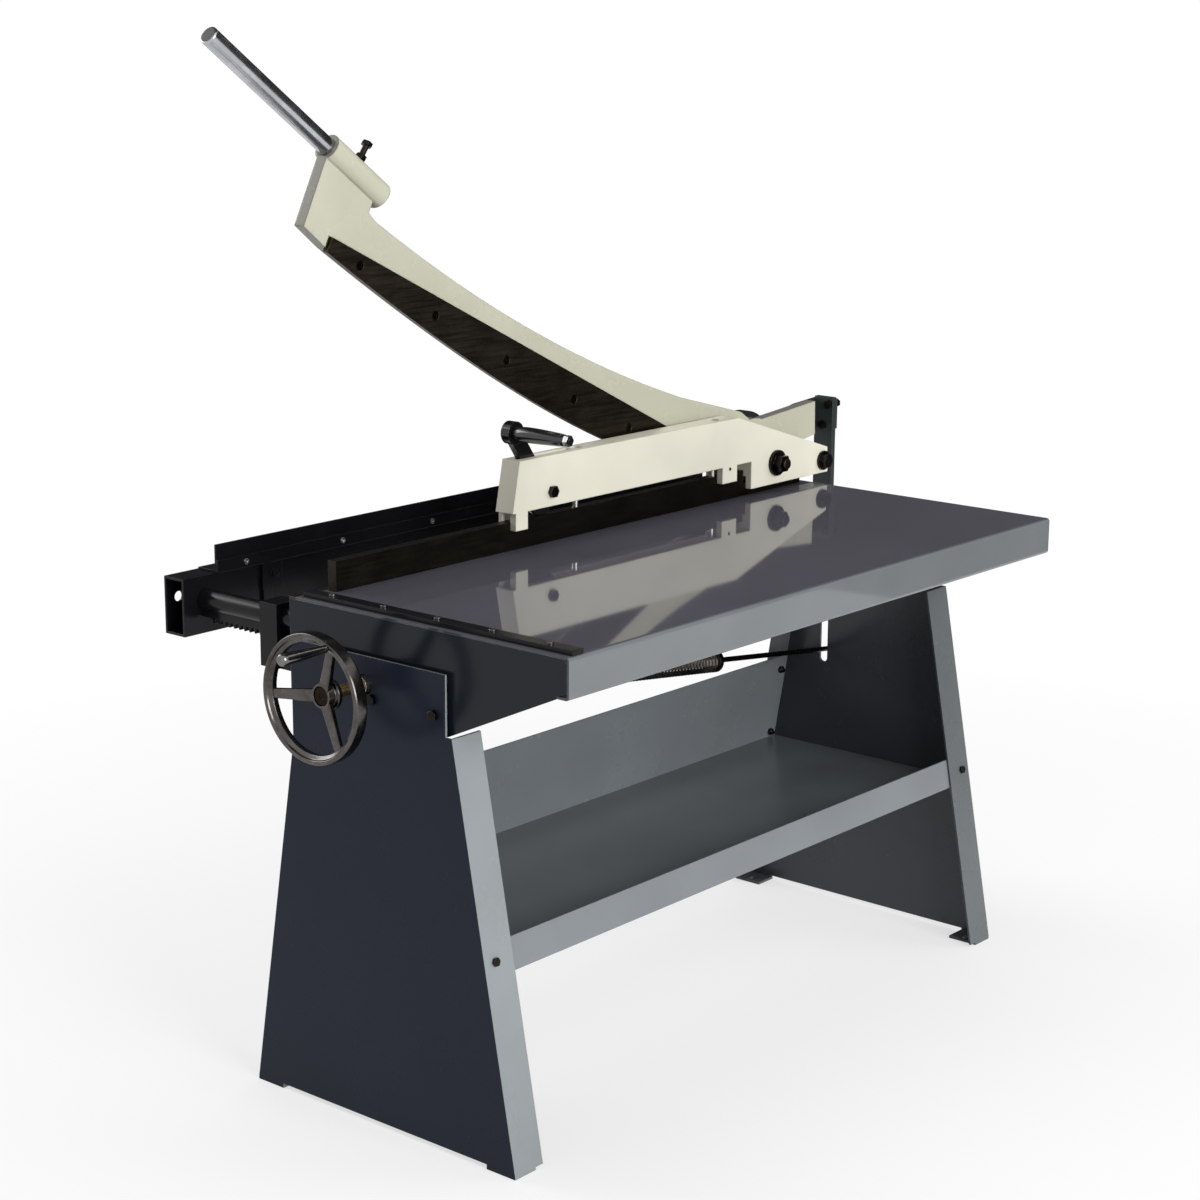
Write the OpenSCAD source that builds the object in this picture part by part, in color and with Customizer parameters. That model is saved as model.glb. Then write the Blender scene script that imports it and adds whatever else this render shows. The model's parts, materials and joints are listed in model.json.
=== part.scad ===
// Bench-height guillotine shear for sheet metal: a lever arm with a curved knife swings down past
// the rear edge of a steel table. +X runs to the pivot end, +Y to the back gauge, +Z up.
// The origin is on the floor, midway between the four foot bolt holes. Millimetres.

/* [Table] */
// Height of the working surface above the floor
table_h = 850; // [800:1:880]
// Length of the table along the cut
table_len = 1354; // [1300:1:1400]
// Depth of the table from its front edge to the plane of the cut
table_reach = 590; // [560:1:600]
// Distance of the plane of the cut behind the origin
shear_y = 202; // [198:1:206]
// Thickness of the table sheet
table_t = 4; // [3:0.5:5]
// Depth of the folded front apron
apron_h = 66; // [50:1:80]
// Outside radius of the apron's fold
fold_r = 6; // [5:0.5:10]
// Thickness of the side plates under the table
side_t = 8; // [6:1:9]
// Depth of a side plate at the stand's front edge
side_h = 167; // [160:1:175]
// Depth of a side plate at its rear edge
side_rear_h = 160; // [155:1:170]
// Width of the beam that carries the lower knife
rear_beam_w = 60; // [50:1:70]
// Height of the beam that carries the lower knife
rear_beam_h = 126; // [120:1:140]

/* [Side guide] */
// Width of the side guide strip
guide_w = 25; // [20:1:30]
// Thickness of the side guide strip
guide_t = 8; // [6:1:10]
// Distance from the table's end to the guide strip
guide_inset = 10; // [6:1:20]

/* [Stand] */
// Thickness of the stand's sheet
stand_t = 4; // [3:0.5:4.5]
// Gap between a side plate and a stand panel, filled by spacers
stand_gap = 7; // [6:0.5:10]
// Top of the stand panels below the table surface
stand_drop = 66; // [60:1:70]
// Height at which the front flange starts
flange_top = 685; // [670:1:688]
// Width of the stand's folded flanges
flange_w = 65; // [60:1:75]
// Front foot line in front of the origin
foot_front = 292; // [280:1:300]
// Rear foot line behind the origin
foot_rear = 292; // [280:1:300]
// Front edge of the stand's upper part in front of the origin
waist_front = 150; // [145:1:155]
// Rear edge of the stand's upper part behind the origin
waist_rear = 188; // [184:1:192]
// Height of the rear bend in the stand panel
waist_rear_z = 615; // [600:1:630]
// Length of a foot plate along Y
foot_l = 60; // [55:1:70]
// Width of a foot plate along X
foot_w = 48; // [44:1:56]
// Thickness of a foot plate
foot_t = 5; // [4:0.5:6]
// Diameter of the hole in each foot
foot_hole_d = 14; // [10:0.5:18]
// Foot hole distance from the foot's end along Y
foot_hole_y = 36; // [30:1:40]
// Foot hole distance from the panel's outer face
foot_hole_x = 34; // [30:1:38]
// Gap between the panel's lower edge and the floor
panel_lift = 8; // [6:1:12]
// Diameter of the stand bolts
stand_bolt_d = 10; // [8:1:12]
// Depth of the stand bolts below the table surface
stand_bolt_drop = 134; // [120:1:140]

/* [Shelf] */
// Height of the underside of the shelf
shelf_z = 310; // [290:1:330]
// Height of the shelf's upturned front lip
shelf_lip_h = 53; // [45:1:60]
// Thickness of the shelf and the backboard
shelf_t = 3; // [2:0.5:4]
// Height of the backboard's upper edge
backboard_top = 488; // [460:1:520]
// Diameter of the shelf bolts
shelf_bolt_d = 8; // [6:1:10]

/* [Knives] */
// Thickness of the lower knife
low_knife_t = 14; // [12:1:16]
// Height of the lower knife
low_knife_h = 58; // [50:1:62]
// Clearance between the knives
knife_gap = 0.3; // [0.3:0.05:0.6]
// Thickness of the upper knife
top_knife_t = 10; // [9:0.5:12]
// Depth of the seat of the upper knife in the arm
knife_seat = 6; // [5:0.5:7]
// Distance of the knife's tip from the pivot
knife_tip_r = 1236; // [1200:1:1240]
// Distance of the knife's heel from the pivot
knife_heel_r = 105; // [100:1:120]
// Cutting angle between the knife's edge and the line to the pivot
rake = 11.1; // [10.8:0.1:11.4]
// Diameter of the knife screws
knife_screw_d = 10; // [8:1:12]

/* [Arm] */
// Height of the pivot above the table surface
pivot_up = 55; // [52:1:60]
// Distance of the pivot from the table's end
pivot_inset = 120; // [112:1:127]
// Angle by which the open arm stands above its closed position
arm_rise = 26.5; // [26:0.1:27]
// Thickness of the arm casting
arm_t = 22; // [20:1:24]
// Radius of the arm's hub
hub_r = 80; // [76:1:84]
// Diameter of the pivot stud
stud_d = 30; // [26:1:34]
// Wall of the pivot bush
bush_wall = 4; // [3:0.5:5]
// Diameter of the handle bar
bar_d = 30; // [26:1:32]
// Length of the handle bar outside its boss
bar_out = 296; // [250:1:320]
// Wall of the handle boss round the bar
boss_wall = 8; // [6:1:10]
// Diameter of the screw that locks the handle bar
lock_d = 10; // [8:1:12]

/* [Hold-down] */
// Thickness of the hold-down beam
beam_t = 40; // [38:1:41]
// Height of the beam's upper edge above the table
beam_top = 157; // [152:1:160]
// Height of the beam's lower edge above the table
beam_low = 67; // [66:1:70]
// Thickness of the hold-down bar
press_t = 18; // [14:1:20]
// Height of the hold-down bar
press_h = 50; // [46:1:51]
// Travel of the hold-down bar
press_travel = 10; // [8:1:10]
// Distance from the plane of the cut to the hold-down bar
press_gap = 20; // [19:1:21]
// Running clearance round sliding parts
slide_gap = 0.6; // [0.4:0.1:0.8]
// Distance of the cam pivot from the middle of the table, to the left
cam_x = 101; // [98:1:104]
// Height of the cam pivot above the table
cam_up = 93; // [92:1:94]
// Diameter of the cam pivot bolt
cam_bolt_d = 12; // [10:1:14]
// Length of the cam lever from its pivot to the grip
lever_l = 135; // [120:1:145]
// Turn of the cam lever between clamped and free
lever_turn = 70; // [60:1:75]
// Length of the lever's grip
grip_l = 112; // [90:1:120]
// Diameter of the lever's grip
grip_d = 27; // [22:1:30]

/* [Back gauge] */
// Height of the gauge tube
tube_h = 98; // [90:1:100]
// Width of the gauge tube
tube_w = 48; // [44:1:50]
// Wall of the gauge tube
tube_wall = 4; // [3:0.5:5]
// Length of the gauge tube
tube_len = 1390; // [1360:1:1400]
// Distance from the plane of the cut to the gauge tube
tube_back = 235; // [230:1:240]
// Depth of the gauge tube's underside below the table surface
tube_drop = 105; // [102:1:110]
// Diameter of the round guide bars
rail_d = 36; // [32:1:38]
// Distance of each guide bar from the table's end
rail_inset = 28; // [27:1:33]
// Length of the guide bars in front of the tube
rail_len = 640; // [620:1:645]
// Running clearance of the guide bars in their blocks
rail_gap = 0.05; // [0.02:0.01:0.1]
// Length of the stop fence
fence_len = 1250; // [1200:1:1280]
// Height of the stop fence
fence_h = 46; // [40:1:50]
// Tooth module of the racks
tooth_m = 4; // [3.5:0.5:4.5]
// Number of teeth of a pinion
pinion_teeth = 16; // [14:1:18]
// Diameter of the gauge shaft
shaft_d = 20; // [18:1:22]
// Distance of the gauge shaft behind the origin
shaft_y = 25; // [18:1:28]
// Outer diameter of the handwheel
wheel_d = 208; // [190:1:220]
// Width of the handwheel's rim
rim_w = 24; // [20:1:26]
// Radial depth of the handwheel's rim
rim_h = 15; // [12:1:18]
// Distance from the stand panel to the handwheel's centre
wheel_out = 105; // [95:1:110]

/* [Counterbalance] */
// Distance of the spring from the plane of the cut
spring_back = 87; // [86:1:90]
// Outer diameter of the spring
spring_d = 44; // [40:1:46]
// Wire diameter of the spring
wire_d = 4.6; // [4:0.1:5]
// Number of curls of the spring
curls = 34; // [28:1:36]
// Length of the coiled stretch with the arm open
coil_len = 330; // [325:1:345]
// Diameter of the pull rod
rod_d = 10; // [8:1:11]
// Distance of the spring's anchor from the middle, to the left
anchor_x = 60; // [55:1:65]
// Depth of the spring's anchor below the table surface
anchor_drop = 240; // [236:1:244]
// Distance of the rod's outer end from the pivot along X
crank_out = 271; // [268:1:276]
// Depth of the rod's outer end below the pivot
crank_down = 410; // [404:1:416]
// Thickness of the crank plate
crank_t = 12; // [10:1:14]
// Width of the crank plate
crank_w = 44; // [40:1:48]

/* [Hidden] */
$fn = 64;

half_len = table_len / 2;
pivot_x = half_len - pivot_inset;
rail_x = half_len - rail_inset;
front_y = shear_y - table_reach;
side_in = half_len - side_t;
panel_in = half_len + stand_gap;
panel_out = panel_in + stand_t;
panel_top = table_h - stand_drop;
seat = 0.3;

// Lower knife and beam
low_rear = shear_y - knife_gap;
low_front = low_rear - low_knife_t;
beam_y0 = low_front - rear_beam_w;
under_table = table_h - table_t;
beam_bottom = under_table - rear_beam_h;

// Slopes of the stand's edges
flange_step = 13;
front_slope = (foot_front - waist_front - flange_step) / flange_top;
rear_slope = (foot_rear - waist_rear) / waist_rear_z;
front_lean = atan(front_slope);
rear_lean = atan(rear_slope);
function front_at(z) = -foot_front + front_slope * z;
function rear_at(z) = foot_rear - rear_slope * z;

// Arm
pivot_z = table_h + pivot_up;
arm_y = shear_y + top_knife_t - knife_seat;
arm_back = arm_y + arm_t;
bush_r = stud_d / 2 + bush_wall;
boss_r = bar_d / 2 + boss_wall;
turn_per_ln = tan(rake) * 180 / PI;
knife_tip_a = -3.46;
function edge_a(r) = knife_tip_a - turn_per_ln * ln(knife_tip_r / r);
function edge(r, lift = 0) = [-r * cos(edge_a(r)), r * sin(edge_a(r)) + lift];
edge_steps = 28;
function edge_r(i) = knife_heel_r + (knife_tip_r - knife_heel_r) * i / edge_steps;
knife_back_heel = [-100, -31];
knife_back_tip = [-knife_tip_r + 5, -49];
function knife_back(u) = knife_back_heel[1] + (knife_back_tip[1] - knife_back_heel[1])
    * (u + knife_back_heel[0]) / (knife_back_heel[0] - knife_back_tip[0]);
waist_u = knife_tip_r - 456;
waist_v = -9;
waist_bend = 0.00015;
function arm_top(u) = [-u, waist_v + waist_bend * pow(u - waist_u, 2)];
knife_screw_r = [for (share = [0.186, 0.3195, 0.4565, 0.6165, 0.7765, 0.936]) knife_tip_r * share];
knife_screws_at = [for (u = knife_screw_r) [-u, (knife_back(u) + edge(u)[1]) / 2]];

// Hold-down
press_y = shear_y - press_gap - press_t;
beam_y = shear_y - 12 - beam_t;
beam_rear = beam_y + beam_t;
cam_z = table_h + cam_up;
cam_t = 12;
slot_w = cam_t + 3;
cam_mid = press_y + press_t / 2;
lever_a = 90 + lever_turn / 2;
cam_lag = 90 - lever_turn / 2;
press_seat = 0.2;
cam_off = press_travel / (2 * cos(cam_lag));
cam_r = cam_up - press_h - press_seat - cam_off * cos(cam_lag) - seat - 0.2;
lever_hub_r = 20;
slot_half = 72;
step_h = press_h / 2;
block_x = pivot_x - 80;
step_x = block_x - 7;
block_low = table_h + 14;
nose_x = pivot_x + 155;
nose_z = pivot_z - 16;
lift_rod_x = [-cam_x + 89, block_x - 93];
lift_rod_d = 12;

// Back gauge
tube_y = shear_y + tube_back;
tube_z = table_h - tube_drop;
rail_z = tube_z + tube_h / 2 + 9;
pinion_r = tooth_m * pinion_teeth / 2;
rail_flat = rail_z - rail_d / 2 + 2;
rack_z = rail_flat - 17.5;
rack_w = 14;
shaft_z = rack_z - pinion_r;
pitch = PI * tooth_m;
block_y = arm_back + 8;
block_t = 40;
block_w = 50;
block_top = rail_z + rail_d / 2 + 8;
wheel_x = -panel_out - wheel_out;
wheel_r = (wheel_d - rim_h) / 2;

// Counterbalance: the line from the anchor to the rod's outer end
spring_y = shear_y - spring_back;
anchor_z = table_h - anchor_drop;
rod_end = [pivot_x + crank_out, pivot_z - crank_down];
line_dx = rod_end[0] + anchor_x;
line_dz = rod_end[1] - anchor_z;
line_len = sqrt(line_dx * line_dx + line_dz * line_dz);
line_a = atan2(-line_dz, line_dx);
coil_r = (spring_d - wire_d) / 2;
link_l = 34;
coil_start = link_l + 16;
rod_start = coil_start + coil_len + 16;
rod_slack = 6.5;
eye_r = 12;
ball_r = 16;

module plate_y(y, t) translate([0, y + t, 0]) rotate([90, 0, 0]) linear_extrude(t) children();
module plate_x(x, t) translate([x, 0, 0]) rotate([90, 0, 90]) linear_extrude(t) children();
module bar_x(x, l, d) translate([x, 0, 0]) rotate([0, 90, 0]) cylinder(d = d, h = l);
module bar_y(y, l, d) translate([0, y + l, 0]) rotate([90, 0, 0]) cylinder(d = d, h = l);
module both_ends() {
    children();
    mirror([1, 0, 0]) children();
}
module hex(across, h) cylinder(d = across / cos(30), h = h, $fn = 6);
module at_arm() translate([pivot_x, 0, pivot_z]) rotate([0, arm_rise, 0]) children();
module at_spring() translate([-anchor_x, spring_y, anchor_z]) rotate([0, line_a, 0]) children();

// A hexagon bolt along +Z: head below the origin, nut past the grip
module bolt(d, grip, tail = 4, nut = true) {
    translate([0, 0, -0.65 * d]) hex(1.6 * d, 0.65 * d);
    cylinder(d = d, h = grip + (nut ? 0.8 * d + tail : tail));
    if (nut) translate([0, 0, grip]) hex(1.6 * d, 0.8 * d);
}
// A socket screw along +Z: head above the origin with a hexagon recess
module socket_screw(d, l, head_d, head_h) {
    difference() {
        cylinder(d = head_d, h = head_h);
        translate([0, 0, head_h * 0.4]) hex(d * 0.7, head_h);
    }
    translate([0, 0, -l]) cylinder(d = d, h = l);
}

// Stand
stand_bolt_ys = [-126, 7, 112];
stand_bolt_z = table_h - stand_bolt_drop;
slot_z = [table_h - 362, table_h - 178];
slot_gap = 3.5;
shelf_bolt_x = panel_out - 24;
front_bolt_z = shelf_z + shelf_lip_h / 2;
back_bolt_z = [shelf_z + 16, backboard_top - 27];
front_flange = stand_t / cos(front_lean);
rear_flange = stand_t / cos(rear_lean);
lip = shelf_t / cos(front_lean);
board = shelf_t / cos(rear_lean);

module stand_panel_outline() polygon([
    [front_at(foot_t), foot_t], [front_at(flange_top), flange_top], [-waist_front, flange_top],
    [-waist_front, panel_top], [waist_rear, panel_top], [waist_rear, waist_rear_z],
    [rear_at(foot_t), foot_t], [rear_at(foot_t) - foot_l, foot_t],
    [rear_at(foot_t) - foot_l, panel_lift], [front_at(foot_t) + foot_l, panel_lift],
    [front_at(foot_t) + foot_l, foot_t]]);
module front_strip(z0, z1, gap, t) polygon([
    [front_at(z0) + gap, z0], [front_at(z1) + gap, z1],
    [front_at(z1) + gap + t, z1], [front_at(z0) + gap + t, z0]]);
module rear_strip(z0, z1, gap, t) polygon([
    [rear_at(z0) - gap, z0], [rear_at(z1) - gap, z1],
    [rear_at(z1) - gap - t, z1], [rear_at(z0) - gap - t, z0]]);
module foot(y0, y_hole) difference() {
    translate([panel_out - foot_w, y0, 0]) cube([foot_w, foot_l, foot_t]);
    translate([panel_out - foot_hole_x, y_hole, -1]) cylinder(d = foot_hole_d, h = foot_t + 2);
}
module at_front_bolt() translate([shelf_bolt_x, front_at(front_bolt_z), front_bolt_z])
    rotate([-90 - front_lean, 0, 0]) children();
module at_back_bolts() for (z = back_bolt_z)
    translate([shelf_bolt_x, rear_at(z), z]) rotate([90 + rear_lean, 0, 0]) children();
module stand(slotted = false, shaft = false) difference() {
    union() {
        plate_x(panel_in, stand_t) stand_panel_outline();
        plate_x(panel_out - flange_w, flange_w) {
            front_strip(foot_t, flange_top, 0, front_flange);
            rear_strip(foot_t, waist_rear_z, 0, rear_flange);
        }
        translate([panel_out - flange_w, waist_rear - stand_t, waist_rear_z])
            cube([flange_w, stand_t, table_h - side_rear_h - 2 - waist_rear_z]);
        foot(front_at(foot_t), -foot_front + foot_hole_y);
        foot(rear_at(foot_t) - foot_l, foot_rear - foot_hole_y);
    }
    for (y = stand_bolt_ys)
        translate([0, y, stand_bolt_z]) bar_x(panel_in - 1, stand_t + 2, stand_bolt_d + 2 * seat);
    at_front_bolt() translate([0, 0, -1]) cylinder(d = shelf_bolt_d + 2 * seat, h = 12);
    at_back_bolts() translate([0, 0, -1]) cylinder(d = shelf_bolt_d + 2 * seat, h = 12);
    if (slotted) plate_x(panel_in - 1, stand_t + 2) for (z = slot_z)
        translate([spring_y, z + (z == slot_z[0] ? rod_d / 2 + slot_gap : -rod_d / 2 - slot_gap)])
            circle(r = rod_d / 2 + slot_gap);
    if (slotted) plate_x(panel_in - 1, stand_t + 2)
        translate([spring_y - rod_d / 2 - slot_gap, slot_z[0] + rod_d / 2 + slot_gap])
            square([rod_d + 2 * slot_gap, slot_z[1] - slot_z[0] - rod_d - 2 * slot_gap]);
    if (shaft) translate([0, shaft_y, shaft_z]) bar_x(panel_in - 1, stand_t + 2, shaft_d + 14);
}
module left_stand() color([0.15, 0.17, 0.21]) mirror([1, 0, 0]) stand(shaft = true);
module right_stand() color([0.5, 0.53, 0.55]) stand(slotted = true);
module stand_spacers() color([0.3, 0.32, 0.34]) both_ends() for (y = stand_bolt_ys)
    translate([0, y, stand_bolt_z]) difference() {
        bar_x(half_len, stand_gap, 24);
        bar_x(half_len - 1, stand_gap + 2, stand_bolt_d + 2 * seat);
    }
module stand_bolts() color([0.1, 0.1, 0.11]) both_ends() for (y = stand_bolt_ys)
    translate([panel_out, y, stand_bolt_z]) rotate([0, -90, 0])
        bolt(stand_bolt_d, stand_t + stand_gap + side_t);

// Shelf
module shelf_bolt_holes() both_ends() {
    at_front_bolt() translate([0, 0, -1]) cylinder(d = shelf_bolt_d + 2 * seat, h = 14);
    at_back_bolts() translate([0, 0, -1]) cylinder(d = shelf_bolt_d + 2 * seat, h = 14);
}
tray_front = front_at(shelf_z + shelf_t) + front_flange;
tray_rear = rear_at(shelf_z + shelf_t) - rear_flange - board - seat;
module shelf_tray() color([0.42, 0.44, 0.45]) difference() {
    plate_x(-panel_in + seat, 2 * (panel_in - seat)) {
        front_strip(shelf_z, shelf_z + shelf_lip_h, front_flange, lip);
        translate([tray_front, shelf_z]) square([tray_rear - tray_front, shelf_t]);
    }
    shelf_bolt_holes();
}
module backboard() color([0.55, 0.57, 0.58]) difference() {
    plate_x(-panel_in + seat, 2 * (panel_in - seat))
        rear_strip(shelf_z, backboard_top, rear_flange, board);
    shelf_bolt_holes();
}
module shelf_bolts() color([0.1, 0.1, 0.11]) both_ends() {
    at_front_bolt() bolt(shelf_bolt_d, stand_t + shelf_t);
    at_back_bolts() bolt(shelf_bolt_d, stand_t + shelf_t);
}

// Table
guide_x = -half_len + guide_inset;
guide_len = table_reach - 24;
guide_screw_ys = [for (i = [0:4]) front_y + 56 + i * (guide_len - 108) / 4];
guide_screw_d = 6;
return_w = 16;
module fold_corner(y, z, turn) translate([y, z]) rotate(turn) intersection() {
    difference() {
        circle(r = fold_r);
        circle(r = fold_r - table_t);
    }
    square(fold_r + 1);
}
module table_top() color([0.36, 0.35, 0.4]) difference() {
    plate_x(-half_len, table_len) {
        translate([front_y + fold_r, under_table])
            square([low_front - front_y - fold_r, table_t]);
        translate([front_y, table_h - apron_h + fold_r]) square([table_t, apron_h - 2 * fold_r]);
        translate([front_y + fold_r, table_h - apron_h]) square([return_w, table_t]);
        fold_corner(front_y + fold_r, table_h - fold_r, 90);
        fold_corner(front_y + fold_r, table_h - apron_h + fold_r, 180);
    }
    for (y = guide_screw_ys) translate([guide_x + guide_w / 2, y, under_table - 1])
        cylinder(d = guide_screw_d + 2 * seat, h = table_t + 2);
}
side_front = front_y + fold_r + return_w + 1;
module side_plate(shaft_hole) difference() {
    plate_x(side_in, side_t) polygon([
        [front_y + table_t, under_table - fold_r], [front_y + table_t + fold_r, under_table],
        [low_rear, under_table],
        [low_rear, table_h - side_rear_h], [-waist_front + 5, table_h - side_h],
        [side_front, table_h - apron_h], [side_front, table_h - apron_h + table_t],
        [front_y + table_t, table_h - apron_h + table_t + fold_r]]);
    for (y = stand_bolt_ys)
        translate([0, y, stand_bolt_z]) bar_x(side_in - 1, side_t + 2, stand_bolt_d + 2 * seat);
    translate([0, shaft_y, shaft_z]) bar_x(side_in - 1, side_t + 2, shaft_hole);
}
bearing_d = 30;
module left_side_plate() color([0.15, 0.17, 0.21]) mirror([1, 0, 0]) side_plate(bearing_d);
module right_side_plate() color([0.4, 0.42, 0.44]) side_plate(bearing_d);

// Rear beam and lower knife
beam_wall = 12;
rail_room = 3;
notch_top = rail_z + rail_d / 2 + rail_room;
notch_low = rack_z - 2 * tooth_m;
notch_x = rail_x - rail_d / 2 - rail_room;
low_screw_xs = [for (i = [-3:3]) i * (half_len - 116) / 3];
low_screw_z = table_h - low_knife_h / 2;
low_head_d = 16;
low_head_h = 8;
foot_x = [pivot_x - 97, rail_x - 39];
foot_bolt_xs = [foot_x[0] + 25, foot_x[1] - 25];
foot_bolt_zs = [beam_bottom + 24, beam_bottom + 50];
foot_bolt_d = 12;
block_bolt_xs = [rail_x - 17, rail_x + 5];
block_bolt_z = beam_bottom + 20;
block_bolt_d = 8;
anchor_bolt_d = 10;
anchor_bolt_zs = [beam_bottom + 40, beam_bottom + 90];
module rear_beam() color([0.2, 0.21, 0.23]) difference() {
    translate([-side_in, beam_y0, beam_bottom]) cube([2 * side_in, rear_beam_w, rear_beam_h]);
    translate([-side_in - 1, beam_y0 + beam_wall, beam_bottom + beam_wall])
        cube([2 * side_in + 2, rear_beam_w - 2 * beam_wall, rear_beam_h - 2 * beam_wall]);
    both_ends() translate([notch_x, beam_y0 - 1, notch_low])
        cube([side_in, rear_beam_w + 2, notch_top - notch_low]);
    for (x = low_screw_xs) translate([x, 0, low_screw_z])
        bar_y(low_front - beam_wall - 1, beam_wall + 2, knife_screw_d + 2 * seat);
    for (x = foot_bolt_xs, z = foot_bolt_zs) translate([x, 0, z])
        bar_y(low_front - beam_wall - 1, beam_wall + 2, foot_bolt_d + 2 * seat);
    both_ends() for (x = block_bolt_xs) translate([x, 0, block_bolt_z])
        bar_y(low_front - beam_wall - 1, beam_wall + 2, block_bolt_d + 2 * seat);
    for (z = anchor_bolt_zs) translate([-anchor_x, 0, z])
        bar_y(beam_y0 - 1, beam_wall + 2, anchor_bolt_d + 2 * seat);
}
module lower_knife() color([0.2, 0.19, 0.17]) difference() {
    translate([-side_in - side_t, low_front, table_h - low_knife_h])
        cube([2 * half_len, low_knife_t, low_knife_h]);
    both_ends() translate([notch_x, low_front - 1, table_h - low_knife_h - 1])
        cube([half_len, low_knife_t + 2, notch_top - table_h + low_knife_h + 1]);
    both_ends() translate([side_in - seat, low_front - 1, table_h - low_knife_h - 1])
        cube([half_len, low_knife_t + 2, low_knife_h - table_t + 1]);
    for (x = low_screw_xs) translate([x, 0, low_screw_z]) {
        bar_y(low_front - 1, low_knife_t + 2, knife_screw_d + 2 * seat);
        bar_y(low_rear - low_head_h - seat, low_head_h + 1, low_head_d + 2 * seat);
    }
}
module lower_knife_screws() color([0.12, 0.12, 0.12]) for (x = low_screw_xs)
    translate([x, low_rear - low_head_h - seat, low_screw_z]) rotate([-90, 0, 0])
        socket_screw(knife_screw_d, 18, low_head_d, low_head_h);

module side_guide() color([0.05, 0.05, 0.06]) difference() {
    translate([guide_x, front_y + 2, table_h]) cube([guide_w, guide_len, guide_t]);
    for (y = guide_screw_ys) translate([guide_x + guide_w / 2, y, table_h - 1])
        cylinder(d = guide_screw_d + 2 * seat, h = guide_t + 2);
}
module side_guide_screws() color([0.7, 0.7, 0.7]) for (y = guide_screw_ys)
    translate([guide_x + guide_w / 2, y, table_h + guide_t])
        socket_screw(guide_screw_d, guide_t + table_t, 11, 3);

// Pivot
bracket_y = arm_back + 1;
bracket_t = 20;
bracket_r = 92;
nose_r = 28;
thread_d = 20;
nose_bolt_d = 16;
foot_top = table_h - low_knife_h - 2;
module bracket_outline() {
    translate([pivot_x, pivot_z]) circle(r = bracket_r);
    translate([nose_x, nose_z]) circle(r = nose_r);
    polygon([[foot_x[0], beam_bottom + 2], [foot_x[1], beam_bottom + 2], [foot_x[1], block_top + 9],
        [nose_x + 12, nose_z - 25], [nose_x + 22, nose_z + 17], [pivot_x + 50, pivot_z + 77],
        [pivot_x - 86, pivot_z - 32], [foot_x[0], foot_top]]);
}
module pivot_bracket() color([0.12, 0.13, 0.14]) difference() {
    union() {
        plate_y(bracket_y, bracket_t) bracket_outline();
        translate([foot_x[0], low_front, beam_bottom + 2])
            cube([foot_x[1] - foot_x[0], bracket_y - low_front + 1, foot_top - beam_bottom - 2]);
    }
    translate([pivot_x, 0, pivot_z]) bar_y(bracket_y - 1, bracket_t + 2, stud_d + 0.2);
    translate([nose_x, 0, nose_z]) bar_y(bracket_y - 1, bracket_t + 2, nose_bolt_d + 2 * seat);
    for (x = foot_bolt_xs, z = foot_bolt_zs) translate([x, 0, z])
        bar_y(low_front - 1, bracket_y + bracket_t - low_front + 2, foot_bolt_d + 2 * seat);
}
module bracket_bolts() color([0.1, 0.1, 0.11]) for (x = foot_bolt_xs, z = foot_bolt_zs)
    translate([x, bracket_y + bracket_t, z]) rotate([90, 0, 0])
        bolt(foot_bolt_d, bracket_y + bracket_t - low_front, beam_wall + 10, false);
module pivot_stud() color([0.45, 0.45, 0.46]) translate([pivot_x, 0, pivot_z]) {
    bar_y(bracket_y + bracket_t, 12, 46);
    bar_y(beam_y, bracket_y + bracket_t - beam_y + 1, stud_d);
    bar_y(beam_y - 28, 29, thread_d);
}
module pivot_spacer() color([0.5, 0.5, 0.5]) translate([pivot_x, 0, pivot_z]) difference() {
    bar_y(beam_rear, arm_y - beam_rear - seat, stud_d + 26);
    bar_y(beam_rear - 1, arm_y - beam_rear + 2, stud_d + 0.2);
}
module pivot_nut() color([0.13, 0.12, 0.11]) translate([pivot_x, 0, pivot_z]) difference() {
    union() {
        bar_y(beam_y - 6, 6, 50);
        translate([0, beam_y - 6, 0]) rotate([90, 0, 0]) hex(30, 16);
    }
    bar_y(beam_y - 30, 32, thread_d + 0.2);
}
module nose_bolt() color([0.13, 0.12, 0.11]) translate([nose_x, 0, nose_z]) {
    bar_y(beam_y - 5, 5, 38);
    translate([0, beam_y - 5, 0]) rotate([-90, 0, 0])
        bolt(nose_bolt_d, bracket_y + bracket_t - beam_y + 5);
}
module nose_spacer() color([0.3, 0.3, 0.3]) translate([nose_x, 0, nose_z]) difference() {
    bar_y(beam_rear, bracket_y - beam_rear, 34);
    bar_y(beam_rear - 1, bracket_y - beam_rear + 2, nose_bolt_d + 2 * seat);
}

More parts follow.
